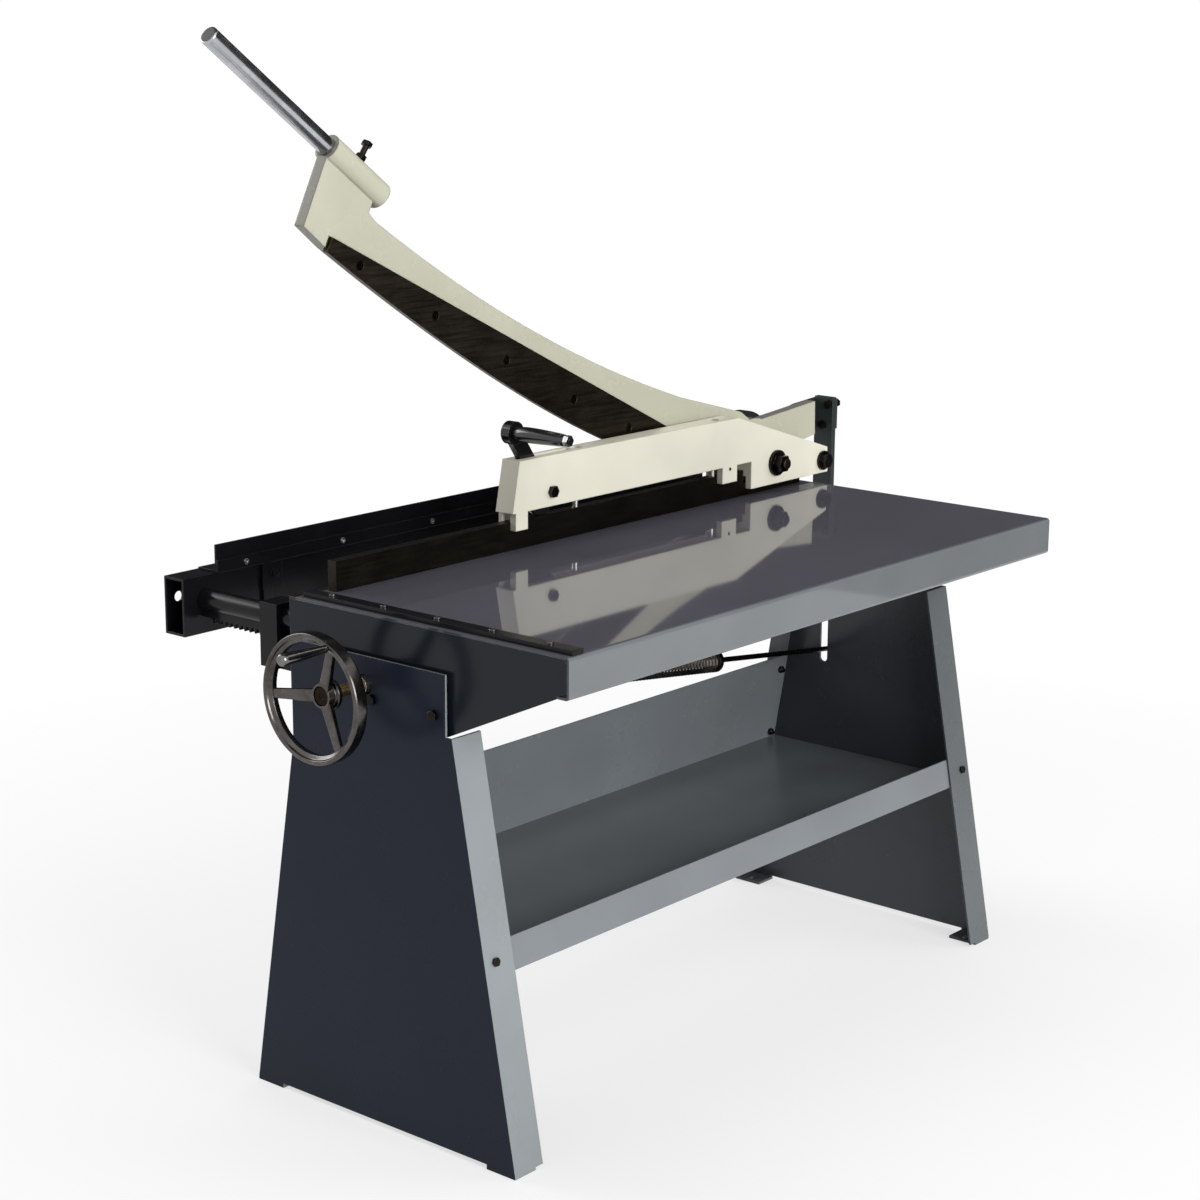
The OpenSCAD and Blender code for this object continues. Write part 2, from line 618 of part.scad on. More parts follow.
// Hold-down beam
top_z = table_h + beam_top;
low_z = table_h + beam_low;
prong_z = low_z - 31;
bore_z = low_z + 24;
bore_d = 24;
step_z = table_h + step_h + press_travel + 2;
beam_left = -cam_x - 84;
module beam_outline() polygon([
    [beam_left, top_z], [beam_left - 18, low_z], [beam_left - 10, low_z], [beam_left - 10, prong_z],
    [beam_left + 21, prong_z], [beam_left + 21, low_z], [block_x - 90, low_z],
    [block_x - 90, prong_z], [block_x - 45, prong_z], [block_x - 45, low_z], [block_x, low_z],
    [block_x, block_low],
    [nose_x + 18, block_low], [nose_x + 16, block_low + 50], [block_x - 42, top_z]]);
module hold_down_beam() color([0.9, 0.89, 0.84]) difference() {
    plate_y(beam_y, beam_t) beam_outline();
    translate([beam_left - 30, press_y - slide_gap, table_h - 1])
        cube([block_x - beam_left + 30, press_t + 2 * slide_gap, beam_low + 1]);
    translate([block_x - 1, press_y - slide_gap, table_h - 1])
        cube([300, press_t + 2 * slide_gap, step_z - table_h + 1]);
    translate([-cam_x - slot_half, cam_mid - slot_w / 2, low_z - 1])
        cube([2 * slot_half, slot_w, top_z - low_z + 2]);
    for (x = lift_rod_x) translate([x, cam_mid, 0]) {
        translate([0, 0, low_z - 1]) cylinder(d = lift_rod_d + 2 * slide_gap, h = beam_top);
        translate([0, 0, bore_z]) cylinder(d = bore_d, h = beam_top);
    }
    translate([-cam_x, 0, cam_z]) bar_y(beam_y - 1, beam_t + 2, cam_bolt_d + 0.2);
    translate([pivot_x, 0, pivot_z]) bar_y(beam_y - 1, beam_t + 2, stud_d + 0.2);
    translate([nose_x, 0, nose_z]) bar_y(beam_y - 1, beam_t + 2, nose_bolt_d + 2 * seat);
}
module cam_bolt() color([0.6, 0.58, 0.52]) translate([-cam_x, beam_y, cam_z]) rotate([-90, 0, 0])
    bolt(cam_bolt_d, beam_t, -cam_bolt_d * 0.3);

// Arm, drawn level and lifted about the pivot
casting_lift = 6;
top_steps = 16;
tip_end = knife_tip_r - 66;
top_u = [271, tip_end - 20];
boss_a = 9.6;
boss_start = [-tip_end + 19, 55];
boss_l = 139;
boss_y = arm_y + arm_t / 2;
lock_at = 69;
sink_d = 16;
sink_h = 6;
heel_room = 12;
module at_boss() at_arm() translate([boss_start[0], boss_y, boss_start[1]])
    rotate([0, boss_a - 90, 0]) children();
module at_knife_screws() at_arm() for (p = knife_screws_at) translate([p[0], 0, p[1]]) children();
tail_outline = [[-11, hub_r - 1], [142, 172], [174, 113], [129, 82], [72, 34], [0, 0]];
casting_outline = concat(
    [for (i = [0:edge_steps]) edge(edge_r(i), casting_lift)],
    [[-knife_tip_r - 56, -56], [-knife_tip_r - 56, 62], [-tip_end, 52], [-tip_end, 18]],
    [for (i = [0:top_steps]) arm_top(top_u[1] + (top_u[0] - top_u[1]) * i / top_steps)],
    [[-81, 69], [0, 60], [0, -60], [-55, -57]]);
module arm_casting() color([0.9, 0.88, 0.82]) difference() {
    union() {
        at_arm() plate_y(arm_y, arm_t) {
            polygon(casting_outline);
            polygon(tail_outline);
            circle(r = hub_r);
        }
        at_boss() cylinder(r = boss_r, h = boss_l);
    }
    at_arm() bar_y(arm_y - 1, arm_t + 2, 2 * bush_r + 0.2);
    at_arm() plate_y(arm_y - 1, knife_seat + 1) polygon([
        [knife_back_heel[0] + heel_room, knife_back_heel[1] + seat],
        [knife_back_tip[0], knife_back_tip[1] + seat], [-knife_tip_r - seat, knife_back_tip[1] + seat],
        [-knife_tip_r - seat, -200], [knife_back_heel[0] + heel_room, -200]]);
    at_knife_screws() bar_y(arm_y - 1, arm_t + 2, knife_screw_d + 2 * seat);
    at_boss() translate([0, 0, -1]) cylinder(d = bar_d + 0.2, h = boss_l + 2);
    at_boss() translate([0, 0, lock_at]) rotate([0, 90, 0]) cylinder(d = lock_d + 2 * seat, h = 40);
    at_tail_bolts() bar_y(arm_back - tail_grip - 1, tail_grip + 2, tail_bolt_d + 2 * seat);
}
module upper_knife() color([0.2, 0.17, 0.14]) difference() {
    at_arm() plate_y(shear_y, top_knife_t) polygon(concat(
        [knife_back_tip, knife_back_heel], [for (i = [0:edge_steps]) edge(edge_r(i))]));
    at_knife_screws() bar_y(shear_y - 1, top_knife_t + 2, knife_screw_d + 2 * seat);
    at_knife_screws() bar_y(shear_y - 1, sink_h + 1 + seat, sink_d + 2 * seat);
}
module knife_screws() color([0.1, 0.1, 0.1]) at_knife_screws() {
    translate([0, shear_y + sink_h + seat, 0]) rotate([90, 0, 0])
        socket_screw(knife_screw_d, arm_back - shear_y + 4, sink_d, sink_h);
    translate([0, arm_back, 0]) rotate([-90, 0, 0]) hex(1.6 * knife_screw_d, 0.7 * knife_screw_d);
}
module pivot_bush() color([0.72, 0.55, 0.28]) translate([pivot_x, 0, pivot_z]) difference() {
    bar_y(arm_y, arm_t, 2 * bush_r);
    bar_y(arm_y - 1, arm_t + 2, stud_d + 0.1);
}
module handle_bar() color([0.72, 0.72, 0.72]) at_boss() {
    translate([0, 0, 4]) cylinder(d = bar_d, h = boss_l + bar_out - 6);
    translate([0, 0, boss_l + bar_out - 2]) cylinder(d1 = bar_d, d2 = bar_d - 4, h = 2);
}
module lock_screw() color([0.12, 0.12, 0.12]) at_boss() translate([0, 0, lock_at])
    rotate([0, 90, 0]) {
        translate([0, 0, bar_d / 2 + 0.2]) cylinder(d = lock_d, h = 34);
        translate([0, 0, bar_d / 2 + 34]) hex(1.6 * lock_d, 7);
    }
module lock_nut() color([0.12, 0.12, 0.12]) at_boss() translate([boss_r + 0.6, 0, lock_at])
    rotate([0, 90, 0]) difference() {
        hex(1.6 * lock_d, 8);
        translate([0, 0, -1]) cylinder(d = lock_d + 0.3, h = 10);
    }

// Tail bracket and crank
tail_bolt_d = 10;
tail_bolts_at = [[pivot_x + 166, pivot_z + 44], [pivot_x + 190, pivot_z + 66]];
tail_t = 8;
tail_grip = 14;
crank_x = rod_end[0] - crank_t / 2;
bracket_x = rod_end[0] + crank_t / 2;
crank_y = arm_back - crank_w / 2;
plate_back = crank_y + crank_w + seat;
crank_top = pivot_z + 90;
crank_knee_z = rod_end[1] + 60;
crank_bolts_at = [[crank_y + 9, crank_top - 14], [crank_y + 23, crank_top - 57]];
module at_tail_bolts() for (p = tail_bolts_at) translate([p[0], 0, p[1]]) children();
module at_crank_bolts() for (p = crank_bolts_at) translate([0, p[0], p[1]]) children();
module tail_bracket() color([0.2, 0.22, 0.22]) difference() {
    union() {
        plate_y(plate_back, tail_t) polygon([
            [pivot_x + 141, pivot_z + 35], [bracket_x + tail_t, pivot_z + 25],
            [bracket_x + tail_t, crank_top - 4], [pivot_x + 200, crank_top - 10],
            [pivot_x + 141, pivot_z + 68]]);
        plate_x(bracket_x, tail_t) translate([crank_y + 2, pivot_z + 25])
            square([crank_w, crank_top - pivot_z - 29]);
        at_tail_bolts() bar_y(arm_back, plate_back - arm_back + 1, 2.4 * tail_bolt_d);
    }
    at_tail_bolts() bar_y(arm_back - 1, plate_back - arm_back + tail_t + 2, tail_bolt_d + 2 * seat);
    at_crank_bolts() bar_x(bracket_x - 1, tail_t + 2, tail_bolt_d + 2 * seat);
}
module tail_bolts() color([0.1, 0.1, 0.11]) at_tail_bolts() translate([0, plate_back + tail_t, 0])
    rotate([90, 0, 0]) bolt(tail_bolt_d, plate_back + tail_t - arm_back, tail_grip, false);
module crank_plate() color([0.2, 0.22, 0.22]) difference() {
    plate_x(crank_x, crank_t) polygon([
        [crank_y, crank_top], [crank_y + crank_w, crank_top],
        [crank_y + crank_w, crank_knee_z + 110], [spring_y + crank_w / 2, crank_knee_z - 25],
        [spring_y + crank_w / 2, rod_end[1] - 16], [spring_y + crank_w / 2 - 8, rod_end[1] - 24],
        [spring_y - crank_w / 2 + 8, rod_end[1] - 24], [spring_y - crank_w / 2, rod_end[1] - 16],
        [spring_y - crank_w / 2, crank_knee_z], [crank_y, crank_knee_z + 135]]);
    at_crank_bolts() bar_x(crank_x - 1, crank_t + 2, tail_bolt_d + 2 * seat);
    translate([0, spring_y, rod_end[1]]) bar_x(crank_x - 1, crank_t + 2, rod_d + 14);
}
module crank_bolts() color([0.1, 0.1, 0.11]) at_crank_bolts()
    translate([crank_x, 0, 0]) rotate([0, 90, 0]) bolt(tail_bolt_d, crank_t + tail_t);

// Hold-down bar and cam lever
press_low = table_h + press_seat;
press_x = [-guide_x - 57, side_in - 14];
rod_hole = 15;
lift_rod_top = top_z - press_travel - 2;
module press_bar() color([0.16, 0.15, 0.14]) difference() {
    plate_y(press_y, press_t) polygon([
        [-press_x[0], press_low], [press_x[1], press_low], [press_x[1], press_low + step_h],
        [step_x, press_low + step_h], [step_x, press_low + press_h],
        [-press_x[0], press_low + press_h]]);
    for (x = lift_rod_x) translate([x, cam_mid, press_low + press_h - rod_hole])
        cylinder(d = lift_rod_d + 0.2, h = rod_hole + 1);
}
module lift_rods() color([0.55, 0.55, 0.54]) for (x = lift_rod_x) translate([x, cam_mid, 0]) {
    translate([0, 0, press_low + press_h - rod_hole])
        cylinder(d = lift_rod_d, h = lift_rod_top - press_low - press_h + rod_hole);
    translate([0, 0, lift_rod_top - 6]) cylinder(d = bore_d - 4, h = 6);
}
lever_w = 30;
hub_at = [lever_l * cos(lever_a), lever_l * sin(lever_a)];
lever_side = [lever_w / 2 * sin(lever_a), -lever_w / 2 * cos(lever_a)];
pin_d = 12;
grip_gap = 0.3;
lever_front = cam_mid - cam_t / 2;
hub_l = 18;
grip_rear = cam_mid - hub_l / 2 - grip_gap;
module at_hub() translate([hub_at[0] - cam_x, 0, cam_z + hub_at[1]]) children();
module cam_lever() color([0.05, 0.05, 0.06]) difference() {
    union() {
        translate([-cam_x, 0, cam_z]) plate_y(lever_front, cam_t) {
            translate([-cam_off * sin(cam_lag), -cam_off * cos(cam_lag)]) circle(r = cam_r);
            polygon([lever_side, -lever_side, hub_at - lever_side, hub_at + lever_side]);
        }
        at_hub() bar_y(cam_mid - hub_l / 2, hub_l, 2 * lever_hub_r);
        at_hub() bar_y(grip_rear - grip_l - 12, grip_l + 20, pin_d);
    }
    translate([-cam_x, 0, cam_z]) bar_y(lever_front - 1, cam_t + 2, cam_bolt_d + 0.1);
}
module barrel(d, l, bore) rotate_extrude() polygon([
    [bore / 2, 0], [d / 2 - 3, 0], [d / 2 - 1, 3], [d / 2, l * 0.3], [d / 2, l * 0.6],
    [d / 2 - 1, l - 3], [d / 2 - 3, l], [bore / 2, l]]);
module lever_grip() color([0.04, 0.04, 0.05]) at_hub() translate([0, grip_rear, 0])
    rotate([90, 0, 0]) barrel(grip_d, grip_l, pin_d + 0.1);
module grip_nut() color([0.8, 0.8, 0.8]) at_hub()
    translate([0, grip_rear - grip_l - grip_gap, 0]) rotate([90, 0, 0]) difference() {
        hex(18, 9);
        translate([0, 0, -1]) cylinder(d = pin_d + 0.2, h = 11);
    }

// Back gauge
tube_hole = [tube_len / 2 - 27, tube_z + tube_h * 0.6];
rack_front = tube_y - rail_len;
tooth_flank = tan(20);
tooth_half = pitch * 0.19;
tooth_tip = 0.9 * tooth_m;
tooth_root = 1.25 * tooth_m;
rack_teeth = floor((tube_y - 20 - rack_front) / pitch);
rack_first = ceil((rack_front + 6 - shaft_y) / pitch - 0.5) + 0.5;
module tooth(root, tip) polygon([
    [-tooth_half - root * tooth_flank, -root], [tooth_half + root * tooth_flank, -root],
    [tooth_half - tip * tooth_flank, tip], [-tooth_half + tip * tooth_flank, tip]]);
module gauge_tube() color([0.08, 0.08, 0.09]) difference() {
    translate([-tube_len / 2, tube_y, tube_z]) cube([tube_len, tube_w, tube_h]);
    translate([-tube_len / 2 - 1, tube_y + tube_wall, tube_z + tube_wall])
        cube([tube_len + 2, tube_w - 2 * tube_wall, tube_h - 2 * tube_wall]);
    both_ends() translate([tube_hole[0], 0, tube_hole[1]])
        bar_y(tube_y + tube_w - tube_wall - 1, tube_wall + 2, 18);
}
module guide_rails() color([0.62, 0.62, 0.62]) both_ends() difference() {
    translate([rail_x, 0, rail_z]) bar_y(rack_front, rail_len, rail_d);
    translate([rail_x - rail_d / 2, rack_front - 1, rail_flat - rail_d])
        cube([rail_d, rail_len + 2, rail_d]);
}
module gauge_racks() color([0.35, 0.34, 0.33]) both_ends()
    plate_x(rail_x - rack_w / 2, rack_w) {
        translate([rack_front, rack_z + tooth_root])
            square([rail_len, rail_flat - rack_z - tooth_root]);
        for (i = [0:rack_teeth - 1]) translate([shaft_y + (rack_first + i) * pitch, rack_z])
            rotate(180) tooth(tooth_root + 0.1, tooth_tip);
    }
fence_z = tube_z + tube_h;
fence_t = 4;
fence_top = fence_h + 2;
strip_h = 22;
fence_y = tube_y - 7;
fence_screw_xs = [for (i = [0:5]) -fence_len / 2 + 62 + i * (fence_len - 124) / 5];
module fence_angle() color([0.1, 0.1, 0.11]) difference() {
    union() {
        translate([-fence_len / 2, fence_y + fence_t, fence_z]) cube([fence_len, fence_t, fence_top]);
        translate([-fence_len / 2, fence_y + fence_t, fence_z]) cube([fence_len, 46, fence_t]);
    }
    for (x = fence_screw_xs) translate([x, 0, fence_z + strip_h / 2])
        bar_y(fence_y, 3 * fence_t, 5 + 2 * seat);
}
module fence_strip() color([0.14, 0.14, 0.15]) difference() {
    translate([-fence_len / 2, fence_y, fence_z]) cube([fence_len, fence_t, strip_h]);
    for (x = fence_screw_xs) translate([x, 0, fence_z + strip_h / 2])
        bar_y(fence_y - 1, fence_t + 2, 5 + 2 * seat);
}
module fence_screws() color([0.75, 0.75, 0.75]) for (x = fence_screw_xs)
    translate([x, fence_y, fence_z + strip_h / 2]) rotate([90, 0, 0])
        socket_screw(5, 2 * fence_t + 3, 10, 3);
clip_x = fence_len / 2 - 122;
module fence_brackets() color([0.12, 0.12, 0.13]) both_ends() {
    translate([clip_x - 23, tube_y - 6, tube_z + 53]) cube([45, 6, tube_h - 54]);
    translate([clip_x, tube_y - 6, tube_z + 27]) cube([20, 6, 27]);
    translate([clip_x - 5, tube_y - 6, tube_z + 78]) rotate([90, 0, 0]) hex(13, 6);
}
lug_h = 42;
module guide_blocks() color([0.25, 0.25, 0.26]) both_ends() difference() {
    union() {
        translate([rail_x - block_w / 2, block_y, beam_bottom + 2])
            cube([block_w, block_t, block_top - beam_bottom - 2]);
        translate([rail_x - block_w / 2, low_front, beam_bottom + 2])
            cube([block_w - 6, block_y - low_front + 1, lug_h]);
    }
    translate([rail_x, 0, rail_z]) bar_y(block_y - 1, block_t + 2, rail_d + 2 * rail_gap);
    translate([rail_x - rack_w / 2 - 1, block_y - 1, rack_z - tooth_m - 3])
        cube([rack_w + 2, block_t + 2, rail_flat - rack_z + tooth_m + 3]);
    for (x = block_bolt_xs) translate([x, 0, block_bolt_z])
        bar_y(low_front - 1, block_y + block_t - low_front + 2, block_bolt_d + 2 * seat);
}
module guide_block_bolts() color([0.1, 0.1, 0.11]) both_ends() for (x = block_bolt_xs)
    translate([x, block_y + block_t, block_bolt_z]) rotate([90, 0, 0])
        bolt(block_bolt_d, block_y + block_t - low_front, beam_wall + 6, false);

// Gauge drive
shaft_run = 0.1;
boss_out = 9;
module shaft_bearings() color([0.7, 0.55, 0.3]) translate([0, shaft_y, shaft_z]) difference() {
    union() {
        both_ends() bar_x(side_in - 5, side_t + 5, bearing_d - 0.2);
        both_ends() bar_x(side_in - 5, 5, bearing_d + 6);
        bar_x(-panel_out - boss_out, panel_out - side_in + boss_out, bearing_d - 0.2);
    }
    both_ends() bar_x(side_in - 6, panel_out - side_in + boss_out + 8, shaft_d + shaft_run);
}
pinion_w = 14;
module drive_shaft() color([0.6, 0.6, 0.6]) translate([0, shaft_y, shaft_z])
    bar_x(wheel_x + hub_front + sink + 1, half_len - wheel_x - hub_front - sink + 1, shaft_d);
module pinions() color([0.4, 0.39, 0.37]) both_ends() difference() {
    plate_x(rail_x - pinion_w / 2, pinion_w) translate([shaft_y, shaft_z]) {
        circle(r = pinion_r - tooth_root);
        for (i = [0:pinion_teeth - 1]) rotate(i * 360 / pinion_teeth)
            translate([0, pinion_r]) tooth(tooth_root + 1, tooth_tip);
    }
    translate([0, shaft_y, shaft_z]) bar_x(rail_x - pinion_w, 2 * pinion_w, shaft_d + 0.2);
}
spoke_as = [-5, 115, 235];
grip_angle = 115;
hub_front = 12;
hub_depth = 24;
sink = 8;
spoke_dish = hub_front + 9;
rim_out = wheel_d / 2;
grip_pin_d = 8;
wheel_grip_l = 94;
module at_wheel() translate([wheel_x, shaft_y, shaft_z]) children();
module at_wheel_grip() at_wheel()
    translate([0, wheel_r * cos(grip_angle), wheel_r * sin(grip_angle)]) rotate([0, -90, 0]) children();
module handwheel() color([0.7, 0.7, 0.69]) difference() {
    union() {
        at_wheel() rotate([0, 90, 0]) rotate_extrude() polygon([
            [rim_out - rim_h, -rim_w / 4], [rim_out - rim_h * 0.6, -rim_w / 2], [rim_out - 2, -rim_w / 2],
            [rim_out, 2 - rim_w / 2], [rim_out, rim_w / 2 - 2], [rim_out - 2, rim_w / 2],
            [rim_out - rim_h * 0.6, rim_w / 2], [rim_out - rim_h, rim_w / 4]]);
        at_wheel() bar_x(hub_front, hub_depth, 42);
        at_wheel() bar_x(hub_front + hub_depth - 10, 10, 50);
        at_wheel() for (a = spoke_as) rotate([a - 90, 0, 0]) translate([spoke_dish, 0, 0])
            rotate([0, -atan(spoke_dish / wheel_r), 0]) translate([0, 0, 18])
                cylinder(d1 = 18, d2 = 13, h = norm([spoke_dish, wheel_r]) - 19);
        at_wheel_grip() cylinder(d = grip_pin_d, h = rim_w / 2 + wheel_grip_l - 6);
    }
    at_wheel() bar_x(hub_front - 1, sink + 1, 34);
    at_wheel() bar_x(hub_front - 1, hub_depth + 2, shaft_d + 0.2);
}
module wheel_grip() color([0.05, 0.05, 0.05]) at_wheel_grip() translate([0, 0, rim_w / 2 + 0.8])
    difference() {
        barrel(20, wheel_grip_l, 0);
        translate([0, 0, -1]) cylinder(d = grip_pin_d + 0.1, h = wheel_grip_l - 4);
    }

// Counterbalance
anchor_pin_d = 10;
anchor_plate_t = 8;
anchor_w = 50;
eye_t = 8;
link_gap = 0.7;
module anchor_plate() color([0.2, 0.22, 0.22]) difference() {
    plate_y(beam_y0 - anchor_plate_t, anchor_plate_t) {
        translate([-anchor_x - anchor_w / 2, anchor_z])
            square([anchor_w, beam_bottom + 110 - anchor_z]);
        translate([-anchor_x, anchor_z]) circle(d = anchor_w);
    }
    for (z = anchor_bolt_zs) translate([-anchor_x, 0, z])
        bar_y(beam_y0 - anchor_plate_t - 1, anchor_plate_t + 2, anchor_bolt_d + 2 * seat);
    translate([-anchor_x, 0, anchor_z])
        bar_y(beam_y0 - anchor_plate_t - 1, anchor_plate_t + 2, anchor_pin_d + 2 * seat);
}
module anchor_pin() color([0.5, 0.5, 0.5]) {
    translate([-anchor_x, 0, anchor_z]) {
        bar_y(spring_y - eye_t / 2 - link_gap - 5, beam_y0 - spring_y + eye_t / 2 + 9, anchor_pin_d);
        bar_y(beam_y0, 4, 17);
        bar_y(spring_y - eye_t / 2 - link_gap - 5, 5, 17);
    }
    for (z = anchor_bolt_zs) translate([-anchor_x, beam_y0 - anchor_plate_t, z]) rotate([-90, 0, 0])
        bolt(anchor_bolt_d, anchor_plate_t, beam_wall + 8, false);
}
module anchor_link() color([0.3, 0.3, 0.31]) at_spring() difference() {
    union() {
        bar_y(-eye_t / 2, eye_t, 2 * eye_r);
        bar_x(0, coil_start - seat, eye_t);
        bar_x(coil_start - 8 - seat, 8, spring_d);
    }
    bar_y(-eye_t, 2 * eye_t, anchor_pin_d + 0.1);
}
rod_l = line_len - rod_start;
nut_at = line_len + crank_t / 2 + ball_r + rod_slack;
module pull_rod() color([0.5, 0.5, 0.5]) at_spring() {
    bar_x(coil_start + coil_len + seat, 10, spring_d);
    bar_x(rod_start - 7, rod_l + 7 + crank_t / 2 + ball_r + rod_slack + 40, rod_d);
}
module rod_nut() color([0.15, 0.15, 0.15]) at_spring() difference() {
    union() {
        translate([nut_at, 0, 0]) rotate([0, 90, 0]) rotate_extrude() intersection() {
            circle(r = ball_r);
            translate([0, -ball_r]) square([ball_r, ball_r + 4]);
        }
        translate([nut_at + 4, 0, 0]) rotate([0, 90, 0]) hex(1.7 * rod_d, 0.9 * rod_d);
    }
    bar_x(nut_at - 2 * ball_r, 5 * ball_r, rod_d + 0.2);
}
// Spring: one tube wound as a formula, straight at both ends
curl_steps = 8;
tube_sides = 6;
spring_rise = (coil_len - 4 * wire_d) / curls;
function coil_point(i) = let (t = i / curl_steps)
    [coil_start + 2 * wire_d + spring_rise * t, coil_r * cos(360 * t), coil_r * sin(360 * t)];
spring_path = concat(
    [[coil_start, coil_r, 0], [coil_start + wire_d, coil_r, 0]],
    [for (i = [1:curls * curl_steps - 1]) coil_point(i)],
    [[coil_start + coil_len - wire_d, coil_r, 0], [coil_start + coil_len, coil_r, 0]]);
spring_last = len(spring_path) - 1;
function unit(v) = v / norm(v);
function heading(i) = i == 0 || i == spring_last ? [1, 0, 0]
    : unit(unit(spring_path[i + 1] - spring_path[i]) + unit(spring_path[i] - spring_path[i - 1]));
function outward(p) = unit([0, p[1], p[2]]);
spring_points = [for (i = [0:spring_last]) let (
        h = heading(i), o = unit(outward(spring_path[i]) - (outward(spring_path[i]) * h) * h),
        w = cross(h, o))
    for (k = [0:tube_sides - 1])
        spring_path[i] + wire_d / 2 * (cos(60 * k) * o + sin(60 * k) * w)];
spring_faces = concat(
    [for (k = [1:tube_sides - 2]) [0, k, k + 1]],
    [for (i = [0:spring_last - 1], k = [0:tube_sides - 1]) let (
            a = i * tube_sides + k, b = i * tube_sides + (k + 1) % tube_sides)
        each [[a, a + tube_sides, b], [b, a + tube_sides, b + tube_sides]]],
    [for (k = [1:tube_sides - 2]) let (e = spring_last * tube_sides) [e, e + k + 1, e + k]]);
spring_gap = min([for (i = [0:3 * curl_steps], j = [i + curl_steps - 3:i + curl_steps + 3])
    norm(spring_path[i] - spring_path[j])]) - wire_d;
echo(spring_gap = spring_gap);
module counter_spring() color([0.35, 0.33, 0.3]) at_spring()
    polyhedron(points = spring_points, faces = spring_faces, convexity = 10);

left_stand();
right_stand();
stand_spacers();
stand_bolts();
shelf_tray();
backboard();
shelf_bolts();
table_top();
left_side_plate();
right_side_plate();
rear_beam();
lower_knife();
lower_knife_screws();
side_guide();
side_guide_screws();
pivot_bracket();
bracket_bolts();
pivot_stud();
pivot_spacer();
pivot_nut();
hold_down_beam();
nose_bolt();
nose_spacer();
cam_bolt();
guide_blocks();
guide_block_bolts();
shaft_bearings();
anchor_plate();
anchor_pin();
arm_casting();
upper_knife();
knife_screws();
pivot_bush();
handle_bar();
lock_screw();
lock_nut();
tail_bracket();
tail_bolts();
crank_plate();
crank_bolts();
press_bar();
lift_rods();
cam_lever();
lever_grip();
grip_nut();
gauge_tube();
guide_rails();
gauge_racks();
fence_angle();
fence_strip();
fence_screws();
fence_brackets();
drive_shaft();
pinions();
handwheel();
wheel_grip();
anchor_link();
counter_spring();
pull_rod();
rod_nut();
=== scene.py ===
import bpy
import json
import math
from mathutils import Matrix, Vector


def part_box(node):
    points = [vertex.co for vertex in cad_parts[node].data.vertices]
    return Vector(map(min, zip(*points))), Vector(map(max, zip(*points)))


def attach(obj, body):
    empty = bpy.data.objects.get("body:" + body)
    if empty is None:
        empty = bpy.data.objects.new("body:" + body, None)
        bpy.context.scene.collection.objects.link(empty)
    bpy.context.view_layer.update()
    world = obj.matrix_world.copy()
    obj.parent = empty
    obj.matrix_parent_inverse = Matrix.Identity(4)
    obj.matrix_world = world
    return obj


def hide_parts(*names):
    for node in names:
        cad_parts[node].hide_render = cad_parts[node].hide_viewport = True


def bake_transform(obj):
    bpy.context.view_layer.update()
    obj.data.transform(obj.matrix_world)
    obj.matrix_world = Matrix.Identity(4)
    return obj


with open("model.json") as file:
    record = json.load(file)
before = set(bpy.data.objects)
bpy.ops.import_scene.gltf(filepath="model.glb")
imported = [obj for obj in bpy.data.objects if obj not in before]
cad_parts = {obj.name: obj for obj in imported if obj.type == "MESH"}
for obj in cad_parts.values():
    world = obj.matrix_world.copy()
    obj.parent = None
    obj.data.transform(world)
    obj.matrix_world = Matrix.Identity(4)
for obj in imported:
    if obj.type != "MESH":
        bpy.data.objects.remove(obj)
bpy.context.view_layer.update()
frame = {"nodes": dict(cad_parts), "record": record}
nodes = frame["nodes"]
print("guillotine shear: frame loaded")


# camera as the photograph: place, pan to the right of +Y, tilt down, roll, focal length and sensor in mm
camView = {"place": (-3.3761, -2.7214, 1.7876), "pan": 49.87, "tilt": 13.413, "roll": 0.352,
           "lens": 76.377, "sensor": 36, "farthest": 60}


def setCamera():
    look = math.radians(camView["pan"])
    tilt = math.radians(camView["tilt"])
    roll = math.radians(camView["roll"])
    forward = Vector((math.sin(look) * math.cos(tilt), math.cos(look) * math.cos(tilt), -math.sin(tilt)))
    right = Vector((math.cos(look), -math.sin(look), 0))
    up = right.cross(forward)
    right, up = right * math.cos(roll) + up * math.sin(roll), up * math.cos(roll) - right * math.sin(roll)
    bpy.ops.object.camera_add(location=camView["place"])
    cam = bpy.context.object
    cam.name = "photoCamera"
    cam.data.sensor_width = camView["sensor"]
    cam.data.lens = camView["lens"]
    cam.data.clip_end = camView["farthest"]
    turn = Matrix((right, up, -forward)).transposed()
    cam.matrix_world = Matrix.Translation(camView["place"]) @ turn.to_4x4()
    bpy.context.scene.camera = cam


# soft boxes: place, size, power in watts, the point that they face, and whether gloss leaves them out
softBoxes = {
    "keyBox": {"at": (-1.1, -4.7, 2.3), "size": 2.8, "power": 195, "aim": (0, 0, 0.8)},
    "fillBox": {"at": (3.4, -3.8, 2.6), "size": 3.0, "power": 75, "aim": (0, 0, 0.7), "unseen": True},
    "topBox": {"at": (0.3, 0.4, 4.4), "size": 3.4, "power": 75, "aim": (0, 0, 0.8)},
    "backBox": {"at": (-1.6, 4.4, 2.8), "size": 2.8, "power": 110, "aim": (0, 0, 0.8)},
}
airLight = 0.22  # light from all round
# dark cards that only gloss and polish reflect: place, size, turn in degrees
darkCards = {
    "rearCard": {"at": (3.3, 2.9, 1.9), "size": (9, 4.6), "turn": (90, 0, 138)},
    "roofCard": {"at": (1.8, 1.6, 4.1), "size": (7, 5), "turn": (0, 0, 48)},
    "sideCard": {"at": (3.0, -1.9, 1.7), "size": (6.4, 3.6), "turn": (90, 0, 84)},
}
feltTones = {"dark": (0.016, 0.016, 0.018), "light": (0.026, 0.026, 0.028), "nap": 3, "rough": 0.9}


